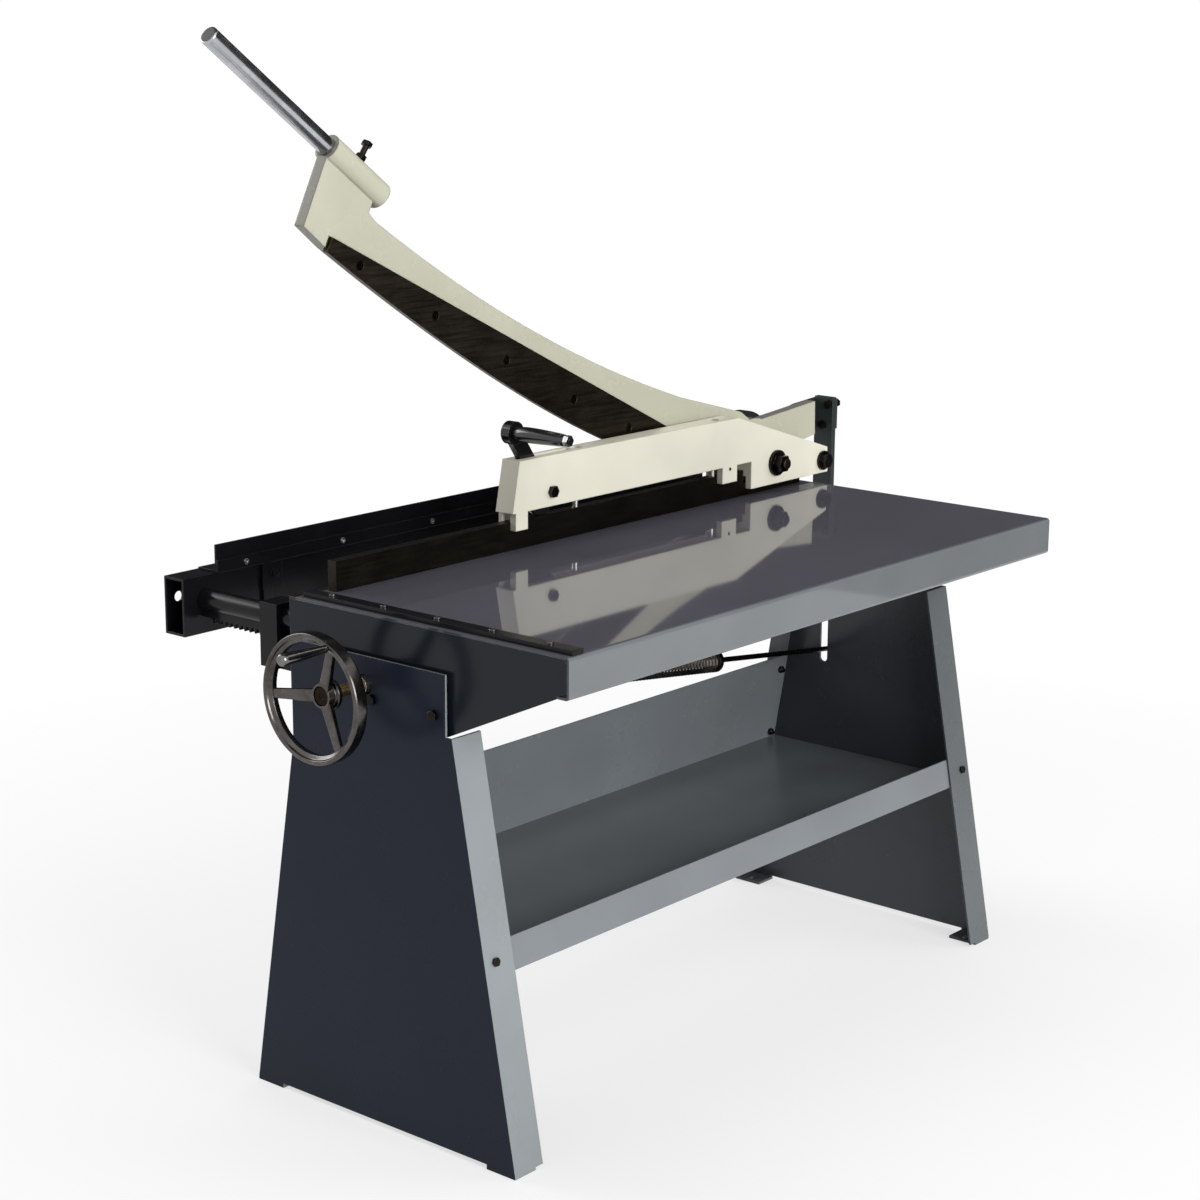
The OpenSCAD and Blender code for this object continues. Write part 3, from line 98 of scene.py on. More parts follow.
def setLights():
    for name, box in softBoxes.items():
        bpy.ops.object.light_add(type="AREA", location=box["at"])
        lamp = bpy.context.object
        lamp.name = name
        lamp.data.shape = "SQUARE"
        lamp.data.size = box["size"]
        lamp.data.energy = box["power"]
        aim = Vector(box["aim"]) - Vector(box["at"])
        lamp.rotation_euler = aim.to_track_quat("-Z", "Y").to_euler()
        lamp.visible_glossy = not box.get("unseen", False)
    world = bpy.data.worlds.new("studioAir")
    bpy.context.scene.world = world
    world.use_nodes = True
    tree = world.node_tree
    air = tree.nodes["Background"]
    air.inputs["Color"].default_value = (1, 1, 1, 1)
    air.inputs["Strength"].default_value = airLight
    seen = tree.nodes.new("ShaderNodeBackground")
    seen.inputs["Color"].default_value = (1, 1, 1, 1)
    seen.inputs["Strength"].default_value = 1
    mix = tree.nodes.new("ShaderNodeMixShader")
    tree.links.new(seenDirectly(tree), mix.inputs["Fac"])
    tree.links.new(air.outputs["Background"], mix.inputs[1])
    tree.links.new(seen.outputs["Background"], mix.inputs[2])
    tree.links.new(mix.outputs["Shader"], tree.nodes["World Output"].inputs["Surface"])


def seenDirectly(tree):
    # one for what the camera, gloss and glass see, nothing for the light that falls on the shear
    path = tree.nodes.new("ShaderNodeLightPath")
    most = path.outputs["Is Camera Ray"]
    for ray in ("Is Glossy Ray", "Is Transmission Ray"):
        larger = tree.nodes.new("ShaderNodeMath")
        larger.operation = "MAXIMUM"
        tree.links.new(most, larger.inputs[0])
        tree.links.new(path.outputs[ray], larger.inputs[1])
        most = larger.outputs["Value"]
    return most


def hangCards():
    for name, card in darkCards.items():
        clearSelection()
        turn = [math.radians(degrees) for degrees in card["turn"]]
        bpy.ops.mesh.primitive_plane_add(size=1, location=card["at"], rotation=turn)
        sheet = bpy.context.object
        sheet.name = name
        sheet.scale = (*card["size"], 1)
        bpy.ops.object.transform_apply(location=True, rotation=True, scale=True)
        felt, tree, shader = newMaterial(name + "Felt", feltTones["dark"], feltTones["rough"])
        nap = addNoise(tree, addPlace(tree), feltTones["nap"], 3)
        tone = addRamp(tree, nap, 0.3, 0.7, feltTones["dark"], feltTones["light"])
        tree.links.new(tone, shader.inputs["Base Color"])
        sheet.data.materials.append(felt)
        sheet.visible_camera = False
        sheet.visible_diffuse = False
        sheet.visible_shadow = False
        sheet.visible_transmission = False


def clearSelection():
    if bpy.context.object and bpy.context.object.mode != "OBJECT":
        bpy.ops.object.mode_set(mode="OBJECT")
    bpy.ops.object.select_all(action="DESELECT")


def newMaterial(name, colour, roughness, metallic=0.0):
    mat = bpy.data.materials.new(name)
    mat.use_nodes = True
    shader = mat.node_tree.nodes["Principled BSDF"]
    shader.inputs["Base Color"].default_value = (*colour, 1)
    shader.inputs["Roughness"].default_value = roughness
    shader.inputs["Metallic"].default_value = metallic
    return mat, mat.node_tree, shader


def addPlace(tree, stretch=(1, 1, 1)):
    place = tree.nodes.new("ShaderNodeTexCoord")
    fit = tree.nodes.new("ShaderNodeMapping")
    fit.inputs["Scale"].default_value = stretch
    tree.links.new(place.outputs["Object"], fit.inputs["Vector"])
    return fit.outputs["Vector"]


def addNoise(tree, place, scale, detail=4, rough=0.55):
    noise = tree.nodes.new("ShaderNodeTexNoise")
    noise.inputs["Scale"].default_value = scale
    noise.inputs["Detail"].default_value = detail
    noise.inputs["Roughness"].default_value = rough
    tree.links.new(place, noise.inputs["Vector"])
    return noise.outputs["Fac"]


def addRamp(tree, value, low, high, fromColour, toColour):
    ramp = tree.nodes.new("ShaderNodeValToRGB")
    ramp.color_ramp.elements[0].position = low
    ramp.color_ramp.elements[1].position = high
    ramp.color_ramp.elements[0].color = (*fromColour, 1)
    ramp.color_ramp.elements[1].color = (*toColour, 1)
    tree.links.new(value, ramp.inputs["Fac"])
    return ramp.outputs["Color"]


def addRange(tree, value, fromLow, fromHigh, toLow, toHigh):
    fit = tree.nodes.new("ShaderNodeMapRange")
    fit.inputs["From Min"].default_value = fromLow
    fit.inputs["From Max"].default_value = fromHigh
    fit.inputs["To Min"].default_value = toLow
    fit.inputs["To Max"].default_value = toHigh
    tree.links.new(value, fit.inputs["Value"])
    return fit.outputs["Result"]


def addBump(tree, shader, height, strength, distance, under=None):
    bump = tree.nodes.new("ShaderNodeBump")
    bump.inputs["Strength"].default_value = strength
    bump.inputs["Distance"].default_value = distance
    tree.links.new(height, bump.inputs["Height"])
    if under is not None:
        tree.links.new(under, bump.inputs["Normal"])
    tree.links.new(bump.outputs["Normal"], shader.inputs["Normal"])


# worn edges: width in metres, how far the face must turn there, the specks that break the wear up,
# and the same for pieces that are rounded in their mesh
wearPlan = {"samples": 4, "width": 0.0016, "blunt": 0.975, "sharp": 0.82, "speck": 60, "speckFrom": 0.42,
            "speckTo": 0.62, "least": 0.15, "roundFrom": 0.60, "roundTo": 0.75, "roundMost": 0.5}


def addWear(tree, shader, colour, worn, amount, width):
    # bare metal and rubbed paint along the edges, broken up by noise
    plan = wearPlan
    rounded = tree.nodes.new("ShaderNodeBevel")
    rounded.samples = plan["samples"]
    rounded.inputs["Radius"].default_value = width
    plain = tree.nodes.new("ShaderNodeNewGeometry")
    dot = tree.nodes.new("ShaderNodeVectorMath")
    dot.operation = "DOT_PRODUCT"
    tree.links.new(rounded.outputs["Normal"], dot.inputs[0])
    tree.links.new(plain.outputs["Normal"], dot.inputs[1])
    edge = addRange(tree, dot.outputs["Value"], plan["blunt"], plan["sharp"], 0, amount)
    speck = addNoise(tree, addPlace(tree), plan["speck"], 5, 0.7)
    spotty = addRange(tree, speck, plan["speckFrom"], plan["speckTo"], plan["least"], 1)
    both = tree.nodes.new("ShaderNodeMath")
    both.operation = "MULTIPLY"
    both.use_clamp = True
    tree.links.new(edge, both.inputs[0])
    tree.links.new(spotty, both.inputs[1])
    tree.links.new(mixColour(tree, both.outputs["Value"], colour, worn), shader.inputs["Base Color"])
    return rounded.outputs["Normal"]


def wearRounded(tree, shader, colour, worn):
    # a piece with rounded edges of its own is rubbed bright where its shape turns sharply
    plan = wearPlan
    plain = tree.nodes.new("ShaderNodeNewGeometry")
    edge = addRange(tree, plain.outputs["Pointiness"], plan["roundFrom"], plan["roundTo"], 0,
                    plan["roundMost"])
    tree.links.new(mixColour(tree, edge, colour, worn), shader.inputs["Base Color"])


# sheet paint with painted light and shade: one paint takes a lighter or darker tone on faces that look front
# or back, up or down, and sideways, for the light that falls on them; roughness, gloss level, rubbed edge,
# and the edge's width where it is cast and not folded
shadedSheetPaints = {
    # the two stands carry one grey paint, given as a lit copy for the left and a shaded copy for the right:
    # painted light and shade for light that falls off from left to right
    "leftStandLitPaint": {"front": (0.27, 0.295, 0.305), "top": (0.14, 0.145, 0.155),
                       "side": (0.014, 0.0185, 0.034), "gloss": 0.25, "level": 0.12,
                       "worn": (0.36, 0.38, 0.39)},
    "rightStandShadedPaint": {"front": (0.125, 0.135, 0.14), "top": (0.10, 0.105, 0.115),
                        "side": (0.040, 0.045, 0.053), "gloss": 0.25, "level": 0.3,
                        "worn": (0.36, 0.38, 0.39)},
    # the side plate's dark sides are painted shade on a grey paint
    "sidePlatePaint": {"front": (0.22, 0.24, 0.25), "top": (0.10, 0.105, 0.12),
                       "side": (0.012, 0.0155, 0.022), "gloss": 0.16, "level": 0.18,
                       "worn": (0.30, 0.32, 0.33)},
    "tablePaint": {"front": (0.145, 0.157, 0.164), "top": (0.088, 0.086, 0.106), "side": (0.05, 0.053, 0.065),
                   "gloss": 0.045, "level": 0.5, "worn": (0.22, 0.225, 0.24)},
    "shelfPaint": {"front": (0.205, 0.222, 0.238), "top": (0.135, 0.148, 0.157), "side": (0.12, 0.13, 0.14),
                   "gloss": 0.22, "level": 0.4, "worn": (0.42, 0.44, 0.46)},
    "beamCream": {"front": (0.79, 0.77, 0.645), "top": (0.70, 0.68, 0.56), "side": (0.55, 0.535, 0.44),
                  "gloss": 0.22, "level": 0.4, "worn": (0.55, 0.53, 0.45), "soft": 0.003},
    # painted shade: the arm carries the beam's cream, given here as a darker shaded copy, with its top
    # painted darkest for the low light from above
    "armCreamShaded": {"front": (0.505, 0.50, 0.395), "top": (0.19, 0.185, 0.165), "side": (0.245, 0.24, 0.20),
                 "gloss": 0.26, "level": 0.35, "worn": (0.42, 0.41, 0.35), "soft": 0.004},
    "backboardPaint": {"front": (0.20, 0.22, 0.235), "top": (0.12, 0.13, 0.14), "side": (0.12, 0.13, 0.14),
                       "gloss": 0.25, "level": 0.4, "worn": (0.30, 0.32, 0.33)},
}
# one-tone paint: tone, cloudy second tone, roughness, gloss level and rubbed edge
plainPaints = {
    "darkGreyPaint": {"tone": (0.012, 0.014, 0.017), "cloud": (0.018, 0.020, 0.023), "gloss": 0.3,
                      "level": 0.4, "worn": (0.08, 0.08, 0.09)},
    "crankPaint": {"tone": (0.027, 0.033, 0.033), "cloud": (0.037, 0.043, 0.043), "gloss": 0.3, "level": 0.4,
                   "worn": (0.12, 0.13, 0.13)},
    "gaugeBlack": {"tone": (0.0045, 0.0045, 0.006), "cloud": (0.008, 0.008, 0.010), "gloss": 0.2,
                   "level": 0.17, "worn": (0.05, 0.05, 0.06)},
    "leverBlack": {"tone": (0.0045, 0.0045, 0.005), "cloud": (0.009, 0.009, 0.010), "gloss": 0.12,
                   "level": 0.5, "worn": (0.05, 0.05, 0.05)},
}
# what all paint shares: clouds, wear, smears in the gloss, orange peel on satin and on glassy paint
# (size, strength), and how far a face must turn to take the next tone
paintPlan = {"cloud": 4, "cloudFrom": 0.3, "cloudTo": 0.75, "dim": (0.90, 0.90, 0.90),
             "clear": (1.06, 1.06, 1.06), "wear": 0.5, "smear": 11, "smearLeast": 0.85, "smearMost": 1.2,
             "glassyBelow": 0.1, "peel": (300, 0.06), "glassyPeel": (60, 0.02), "peelDeep": 0.0003,
             "turnFrom": 0.6, "turnTo": 0.8}


def shadeByFacing(tree, axis):
    # one where a face looks along this axis, either way: the mask by which shade is painted on a face
    place = tree.nodes.new("ShaderNodeTexCoord")
    split = tree.nodes.new("ShaderNodeSeparateXYZ")
    tree.links.new(place.outputs["Normal"], split.inputs["Vector"])
    size = tree.nodes.new("ShaderNodeMath")
    size.operation = "ABSOLUTE"
    tree.links.new(split.outputs[axis], size.inputs[0])
    return addRange(tree, size.outputs["Value"], paintPlan["turnFrom"], paintPlan["turnTo"], 0, 1)


def mixColour(tree, share, first, second):
    mix = tree.nodes.new("ShaderNodeMix")
    mix.data_type = "RGBA"
    tree.links.new(share, mix.inputs["Factor"])
    for socket, colour in (("A", first), ("B", second)):
        if isinstance(colour, tuple):
            mix.inputs[socket].default_value = (*colour, 1)
        else:
            tree.links.new(colour, mix.inputs[socket])
    return mix.outputs["Result"]


def finishPaint(tree, shader, colour, look):
    plan = paintPlan
    place = addPlace(tree)
    cloud = addNoise(tree, place, plan["cloud"], 3)
    shade = addRamp(tree, cloud, plan["cloudFrom"], plan["cloudTo"], plan["dim"], plan["clear"])
    both = tree.nodes.new("ShaderNodeMix")
    both.data_type = "RGBA"
    both.blend_type = "MULTIPLY"
    both.inputs["Factor"].default_value = 1
    tree.links.new(colour, both.inputs["A"])
    tree.links.new(shade, both.inputs["B"])
    width = look.get("soft", wearPlan["width"])
    edge = addWear(tree, shader, both.outputs["Result"], look["worn"], plan["wear"], width)
    smear = addNoise(tree, place, plan["smear"], 4, 0.6)
    least, most = look["gloss"] * plan["smearLeast"], look["gloss"] * plan["smearMost"]
    tree.links.new(addRange(tree, smear, 0.3, 0.7, least, most), shader.inputs["Roughness"])
    size, strength = plan["glassyPeel"] if look["gloss"] < plan["glassyBelow"] else plan["peel"]
    addBump(tree, shader, addNoise(tree, place, size, 2, 0.4), strength, plan["peelDeep"], edge)
    shader.inputs["Specular IOR Level"].default_value = look["level"]


def sheetMaterial(name, look):
    mat, tree, shader = newMaterial(name, look["front"], look["gloss"])
    # painted light and shade: sideways faces, then up and down faces, take a tone for the light that falls on
    # them
    sideShadedColour = mixColour(tree, shadeByFacing(tree, "X"), look["front"], look["side"])
    colour = mixColour(tree, shadeByFacing(tree, "Z"), sideShadedColour, look["top"])
    finishPaint(tree, shader, colour, look)
    return mat


def plainMaterial(name, look):
    mat, tree, shader = newMaterial(name, look["tone"], look["gloss"])
    cloud = addNoise(tree, addPlace(tree), 7, 4)
    finishPaint(tree, shader, addRamp(tree, cloud, 0.35, 0.7, look["tone"], look["cloud"]), look)
    return mat


# bare metal: tone, darker stain, roughness, how fine the grain is along X, Y and Z, stain cover, and edge
# wear, which a piece that is rounded in its mesh gets by its shape instead
metals = {
    "knifeSteel": {"tone": (0.060, 0.049, 0.036), "stain": (0.034, 0.027, 0.019), "rough": 0.36,
                   "grain": (3, 60, 60), "cover": 0.5, "wear": 0.6},
    "clampSteel": {"tone": (0.034, 0.030, 0.023), "stain": (0.018, 0.016, 0.012), "rough": 0.40,
                   "grain": (3, 60, 60), "cover": 0.55, "wear": 0.5},
    "blackSteel": {"tone": (0.036, 0.033, 0.029), "stain": (0.015, 0.0135, 0.012), "rough": 0.32,
                   "grain": (60, 60, 60), "cover": 0.5, "wear": 0.8},
    # the plug's dark brown shaft end, darkened further: partly painted shade for the hollow in the hub that
    # it sits in
    "hubBrownShaded": {"tone": (0.024, 0.014, 0.008), "stain": (0.008, 0.005, 0.003), "rough": 0.34,
                 "grain": (60, 60, 60), "cover": 0.5, "wear": 0.4},
    "studBrown": {"tone": (0.16, 0.12, 0.09), "stain": (0.05, 0.036, 0.027), "rough": 0.26,
                  "grain": (60, 60, 60), "cover": 0.5, "wear": 0.8},
    "screwGrey": {"tone": (0.15, 0.145, 0.135), "stain": (0.06, 0.055, 0.05), "rough": 0.28,
                  "grain": (70, 70, 70), "cover": 0.5, "wear": 0.6},
    "socketBlack": {"tone": (0.016, 0.013, 0.010), "stain": (0.007, 0.006, 0.005), "rough": 0.3,
                    "grain": (70, 70, 70), "cover": 0.4, "wear": 1.0},
    "sawnSteel": {"tone": (0.085, 0.08, 0.078), "stain": (0.045, 0.042, 0.04), "rough": 0.38,
                  "grain": (70, 70, 70), "cover": 0.5, "smooth": True},
    "brightSteel": {"tone": (0.46, 0.45, 0.43), "stain": (0.29, 0.27, 0.24), "rough": 0.27,
                    "grain": (70, 70, 70), "cover": 0.4, "wear": 0.6},
    "handleSteel": {"tone": (0.60, 0.61, 0.64), "stain": (0.44, 0.45, 0.47), "rough": 0.19,
                    "grain": (8, 8, 8), "cover": 0.3, "smooth": True},
    "gripSteel": {"tone": (0.26, 0.26, 0.255), "stain": (0.11, 0.107, 0.10), "rough": 0.14,
                  "grain": (12, 60, 60), "cover": 0.45, "smooth": True},
    "springSteel": {"tone": (0.24, 0.225, 0.20), "stain": (0.06, 0.055, 0.048), "rough": 0.24,
                    "grain": (90, 90, 90), "cover": 0.4, "smooth": True},
    "rodBlack": {"tone": (0.045, 0.041, 0.035), "stain": (0.018, 0.016, 0.014), "rough": 0.26,
                 "grain": (20, 60, 60), "cover": 0.5, "wear": 0.6},
    "bronzeMetal": {"tone": (0.56, 0.40, 0.20), "stain": (0.22, 0.14, 0.06), "rough": 0.3,
                    "grain": (60, 60, 60), "cover": 0.5, "wear": 0.5},
    "chromeMetal": {"tone": (0.62, 0.62, 0.62), "stain": (0.45, 0.45, 0.45), "rough": 0.12,
                    "grain": (40, 40, 40), "cover": 0.2, "wear": 0.3},
    "wheelIron": {"tone": (0.125, 0.116, 0.114), "stain": (0.034, 0.028, 0.025), "rough": 0.2,
                  "grain": (20, 20, 20), "cover": 0.75, "smooth": True},
}


# what all metal shares: stains and fine specks, how bright and wide a rubbed edge is, the grain's size and
# depth, and the least and most of the roughness
metalPlan = {"blotch": 16, "fine": 130, "fineShare": 0.3, "clearFrom": 0.55, "coverShare": 0.4,
             "clearTo": 0.66, "rub": 2.4, "edge": 0.0012, "grain": 5, "bump": 0.03, "deep": 0.0002,
             "least": 0.8, "most": 1.25}


def metalMaterial(name, look):
    plan = metalPlan
    mat, tree, shader = newMaterial(name, look["tone"], look["rough"], 1.0)
    place = addPlace(tree)
    blotch = addNoise(tree, place, plan["blotch"], 5, 0.6)
    fine = addNoise(tree, place, plan["fine"], 3, 0.6)
    spread = tree.nodes.new("ShaderNodeMix")
    spread.data_type = "FLOAT"
    spread.inputs["Factor"].default_value = plan["fineShare"]
    tree.links.new(blotch, spread.inputs["A"])
    tree.links.new(fine, spread.inputs["B"])
    low = plan["clearFrom"] - look["cover"] * plan["coverShare"]
    colour = addRamp(tree, spread.outputs["Result"], low, plan["clearTo"], look["stain"], look["tone"])
    worn = tuple(min(1, part * plan["rub"]) for part in look["tone"])
    edge = None
    if look.get("smooth"):
        wearRounded(tree, shader, colour, worn)
    else:
        edge = addWear(tree, shader, colour, worn, look["wear"], plan["edge"])
    grain = addNoise(tree, addPlace(tree, look["grain"]), plan["grain"], 3, 0.5)
    least, most = look["rough"] * plan["least"], look["rough"] * plan["most"]
    tree.links.new(addRange(tree, grain, 0.3, 0.7, least, most), shader.inputs["Roughness"])
    addBump(tree, shader, grain, plan["bump"], plan["deep"], edge)
    return mat


# the moulded grip: tones, worn edge, rubbed gloss and a thin clear skin
plasticLook = {"tone": (0.008, 0.008, 0.009), "dark": (0.006, 0.006, 0.007), "light": (0.012, 0.012, 0.013),
               "worn": (0.05, 0.05, 0.05), "wear": 0.4, "rough": 0.18, "least": 0.11, "most": 0.26,
               "cloud": 30, "rub": 45, "bump": 0.03, "deep": 0.0003, "skin": 0.4, "skinRough": 0.08}


def plasticMaterial(name):
    look = plasticLook
    mat, tree, shader = newMaterial(name, look["tone"], look["rough"])
    place = addPlace(tree)
    colour = addRamp(tree, addNoise(tree, place, look["cloud"], 3), 0.3, 0.7, look["dark"], look["light"])
    edge = addWear(tree, shader, colour, look["worn"], look["wear"], wearPlan["width"])
    rub = addNoise(tree, place, look["rub"], 5, 0.65)
    tree.links.new(addRange(tree, rub, 0.35, 0.7, look["least"], look["most"]), shader.inputs["Roughness"])
    addBump(tree, shader, rub, look["bump"], look["deep"], edge)
    shader.inputs["Coat Weight"].default_value = look["skin"]
    shader.inputs["Coat Roughness"].default_value = look["skinRough"]
    return mat


finishes = {name: sheetMaterial(name, look) for name, look in shadedSheetPaints.items()}
finishes.update({name: plainMaterial(name, look) for name, look in plainPaints.items()})
finishes.update({name: metalMaterial(name, look) for name, look in metals.items()})
finishes["gripPlastic"] = plasticMaterial("gripPlastic")
slotOf = {part["node"]: part["material_slot"] for part in frame["record"]["subparts"]}
# the finish of each slot of the record, and of the nodes that differ from it
slotFinish = {
    "dark_blue_paint": "sidePlatePaint", "grey_paint": "shelfPaint", "light_grey_paint": "backboardPaint",
    "dark_grey_paint": "darkGreyPaint", "table_paint": "tablePaint", "cream_paint": "beamCream",
    "crank_paint": "crankPaint", "gauge_black": "gaugeBlack", "gloss_black_paint": "leverBlack",
    "knife_steel": "knifeSteel", "black_steel": "blackSteel", "bright_steel": "brightSteel",
    "polished_steel": "handleSteel", "spring_steel": "springSteel", "bronze": "bronzeMetal",
    "chrome": "chromeMetal", "wheel_casting": "wheelIron", "black_plastic": "gripPlastic",
}
# the stands take lit and shaded copies of one paint, and the arm a shaded copy of the beam's cream: painted
# light and shade
nodeFinish = {
    "left_stand": "leftStandLitPaint", "right_stand": "rightStandShadedPaint", "right_side_plate": "sidePlatePaint",
    "arm_casting": "armCreamShaded", "press_bar": "clampSteel", "pull_rod": "rodBlack", "anchor_link": "rodBlack",
    "guide_rails": "gaugeBlack", "guide_blocks": "gaugeBlack", "side_guide": "gaugeBlack",
    "gauge_racks": "gaugeBlack", "side_guide_screws": "screwGrey", "pivot_stud": "studBrown",
    "shaft_bearings": "brightSteel", "knife_screws": "socketBlack",
}


def finishOf(node):
    return finishes[nodeFinish.get(node, slotFinish[slotOf[node]])]


def dressNodes():
    for name, thing in nodes.items():
        finish = finishOf(name)
        if not thing.material_slots:
            thing.data.materials.append(finish)
        for place in thing.material_slots:
            place.material = finish


setCamera()
setLights()
hangCards()
dressNodes()
bpy.context.scene.view_settings.view_transform = "Standard"
print("camera, lights and finishes set")


roundedAngle = 35  # degrees: edges that turn less are shaded smooth
mergeGap = 0.00001  # metres


def namePiece(piece, name, finish):
    piece.name = name
    piece.data.name = name
    clearSelection()
    piece.select_set(True)
    bpy.context.view_layer.objects.active = piece
    bpy.ops.object.shade_smooth_by_angle(angle=math.radians(roundedAngle))
    piece.data.materials.clear()
    piece.data.materials.append(finish)


def rideAs(piece, name, node):
    # a new piece that stands for a node: it takes the finish of the node's slot, and the node is hidden
    namePiece(piece, name, finishOf(node))
    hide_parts(node)


def turnPiece(profile, steps=48):
    # a point drawn along the profile, distance along X and radius, then spun about X
    clearSelection()
    bpy.ops.mesh.primitive_plane_add(size=0.002)
    bpy.ops.object.mode_set(mode="EDIT")
    bpy.ops.mesh.select_all(action="SELECT")
    bpy.ops.mesh.merge(type="CENTER")
    along, out = profile[0]
    bpy.ops.transform.translate(value=(along, 0, out))
    for nextAlong, nextOut in profile[1:]:
        step = (nextAlong - along, 0, nextOut - out)
        bpy.ops.mesh.extrude_vertices_move(TRANSFORM_OT_translate={"value": step})
        along, out = nextAlong, nextOut
    bpy.ops.mesh.select_all(action="SELECT")
    bpy.ops.mesh.remove_doubles(threshold=mergeGap)
    bpy.ops.mesh.spin(steps=steps, angle=2 * math.pi, center=(0, 0, 0), axis=(1, 0, 0))
    bpy.ops.mesh.select_all(action="SELECT")
    bpy.ops.mesh.remove_doubles(threshold=mergeGap)
    bpy.ops.mesh.normals_make_consistent(inside=False)
    bpy.ops.object.mode_set(mode="OBJECT")
    return bpy.context.object


def layPiece(piece, place):
    # the place goes into the mesh
    clearSelection()
    piece.select_set(True)
    bpy.context.view_layer.objects.active = piece
    piece.matrix_world = place
    bpy.ops.object.transform_apply(location=True, rotation=True, scale=True)


def roundEdges(piece, width, segments=3, angle=roundedAngle):
    clearSelection()
    piece.select_set(True)
    bpy.context.view_layer.objects.active = piece
    soften = piece.modifiers.new("softEdges", "BEVEL")
    soften.width = width
    soften.segments = segments
    soften.limit_method = "ANGLE"
    soften.angle_limit = math.radians(angle)
    bpy.ops.object.modifier_apply(modifier=soften.name)


def midOf(node):
    low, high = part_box(node)
    return [(least + most) / 2 for least, most in zip(low, high)], high


# counterbalance spring, metres: anchor, slope of its line, where the curls start and end on it, radius of
# the coil and of the wire, and between where on the line they stretch
springPlan = {"anchor": (-0.060, 0.115, 0.610), "slope": 7.379, "start": 0.0522, "end": 0.3778,
              "coil": 0.0197, "wire": 0.0023, "curls": 34, "sides": 10, "steps": 24,
              "linkEnd": 0.050, "rodEnd": 0.380}


def windSpring():
    plan = springPlan
    clearSelection()
    bpy.ops.mesh.primitive_circle_add(vertices=plan["sides"], radius=plan["wire"], fill_type="NOTHING",
                                      location=(plan["start"], 0, plan["coil"]), rotation=(math.pi / 2, 0, 0))
    coil = bpy.context.object
    bpy.ops.object.transform_apply(location=True, rotation=True, scale=True)
    wind = coil.modifiers.new("wind", "SCREW")
    wind.axis = "X"
    wind.angle = 2 * math.pi
    wind.iterations = plan["curls"]
    wind.screw_offset = (plan["end"] - plan["start"]) / plan["curls"]
    wind.steps = wind.render_steps = plan["steps"]
    wind.use_merge_vertices = False
    bpy.ops.object.modifier_apply(modifier=wind.name)
    bpy.ops.object.mode_set(mode="EDIT")
    bpy.ops.mesh.select_all(action="SELECT")
    bpy.ops.mesh.fill_holes(sides=0)
    bpy.ops.mesh.select_all(action="SELECT")
    bpy.ops.mesh.normals_make_consistent(inside=False)
    bpy.ops.object.mode_set(mode="OBJECT")
    slope = math.radians(plan["slope"])
    layPiece(coil, Matrix.Translation(plan["anchor"]) @ Matrix.Rotation(slope, 4, "Y"))
    rideAs(coil, "springCoil", "counter_spring")
    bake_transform(coil)


# handwheel, metres from the middle of the rim, towards the stand and outwards: the rim and the ledges on
# its faces, the hub with its bore, sunk front and flange, the spokes, and the pin that holds the grip
wheelPlan = {
    "centre": (-0.793, 0.025, 0.7375),
    "rimOut": 0.104, "rimIn": 0.089, "rimHalf": 0.012, "crown": 0.0015, "crownWide": 0.003, "ledge": 0.0075,
    "ledgeFoot": 0.006, "ledgeWide": 0.004, "innerShare": 0.4, "rimSteps": 128, "rimRound": 0.0011,
    "hub": 0.0195, "hubFront": 0.012, "seat": 0.020, "hubStep": 0.027, "flangeFront": 0.028,
    "hubRear": 0.036, "flange": 0.025, "sink": 0.0155, "bore": 0.0101, "hubSteps": 64, "hubRound": 0.0012,
    "spokes": (-5, 115, 235), "spokeFrom": 0.017, "spokeThick": 0.0105, "spokeWide": 0.0205,
    "spokeSink": 0.004, "thinner": 0.22, "narrower": 0.36, "curve": 0.12, "spokeRound": 0.003,
    "dish": 0.021, "gripAngle": 115, "gripRadius": 0.0965, "pin": 0.004, "pinLong": 0.100,
    "pinTip": 0.0005, "pinSteps": 24,
}


def castSpoke(turn, reach):
    plan = wheelPlan
    root = plan["spokeFrom"]
    clearSelection()
    bpy.ops.mesh.primitive_cube_add(size=1, location=(0, 0, (root + reach) / 2))
    spoke = bpy.context.object
    spoke.scale = (plan["spokeThick"], plan["spokeWide"], reach - root)
    bpy.ops.object.transform_apply(location=True, rotation=True, scale=True)
    bpy.ops.object.mode_set(mode="EDIT")
    bpy.ops.mesh.subdivide(number_cuts=3)
    bpy.ops.object.mode_set(mode="OBJECT")
    for point in spoke.data.vertices:
        # it thins and narrows towards the rim
        share = (point.co.z - root) / (reach - root)
        point.co.x *= 1 - plan["thinner"] * share
        point.co.y *= 1 - plan["narrower"] * share + plan["curve"] * share * share
    roundEdges(spoke, plan["spokeRound"], 4)
    lean = math.atan(plan["dish"] / (plan["rimIn"] + plan["spokeSink"]))
    dished = Matrix.Translation((plan["dish"], 0, 0)) @ Matrix.Rotation(-lean, 4, "Y")
    layPiece(spoke, Matrix.Rotation(math.radians(turn - 90), 4, "X") @ dished)
    return spoke


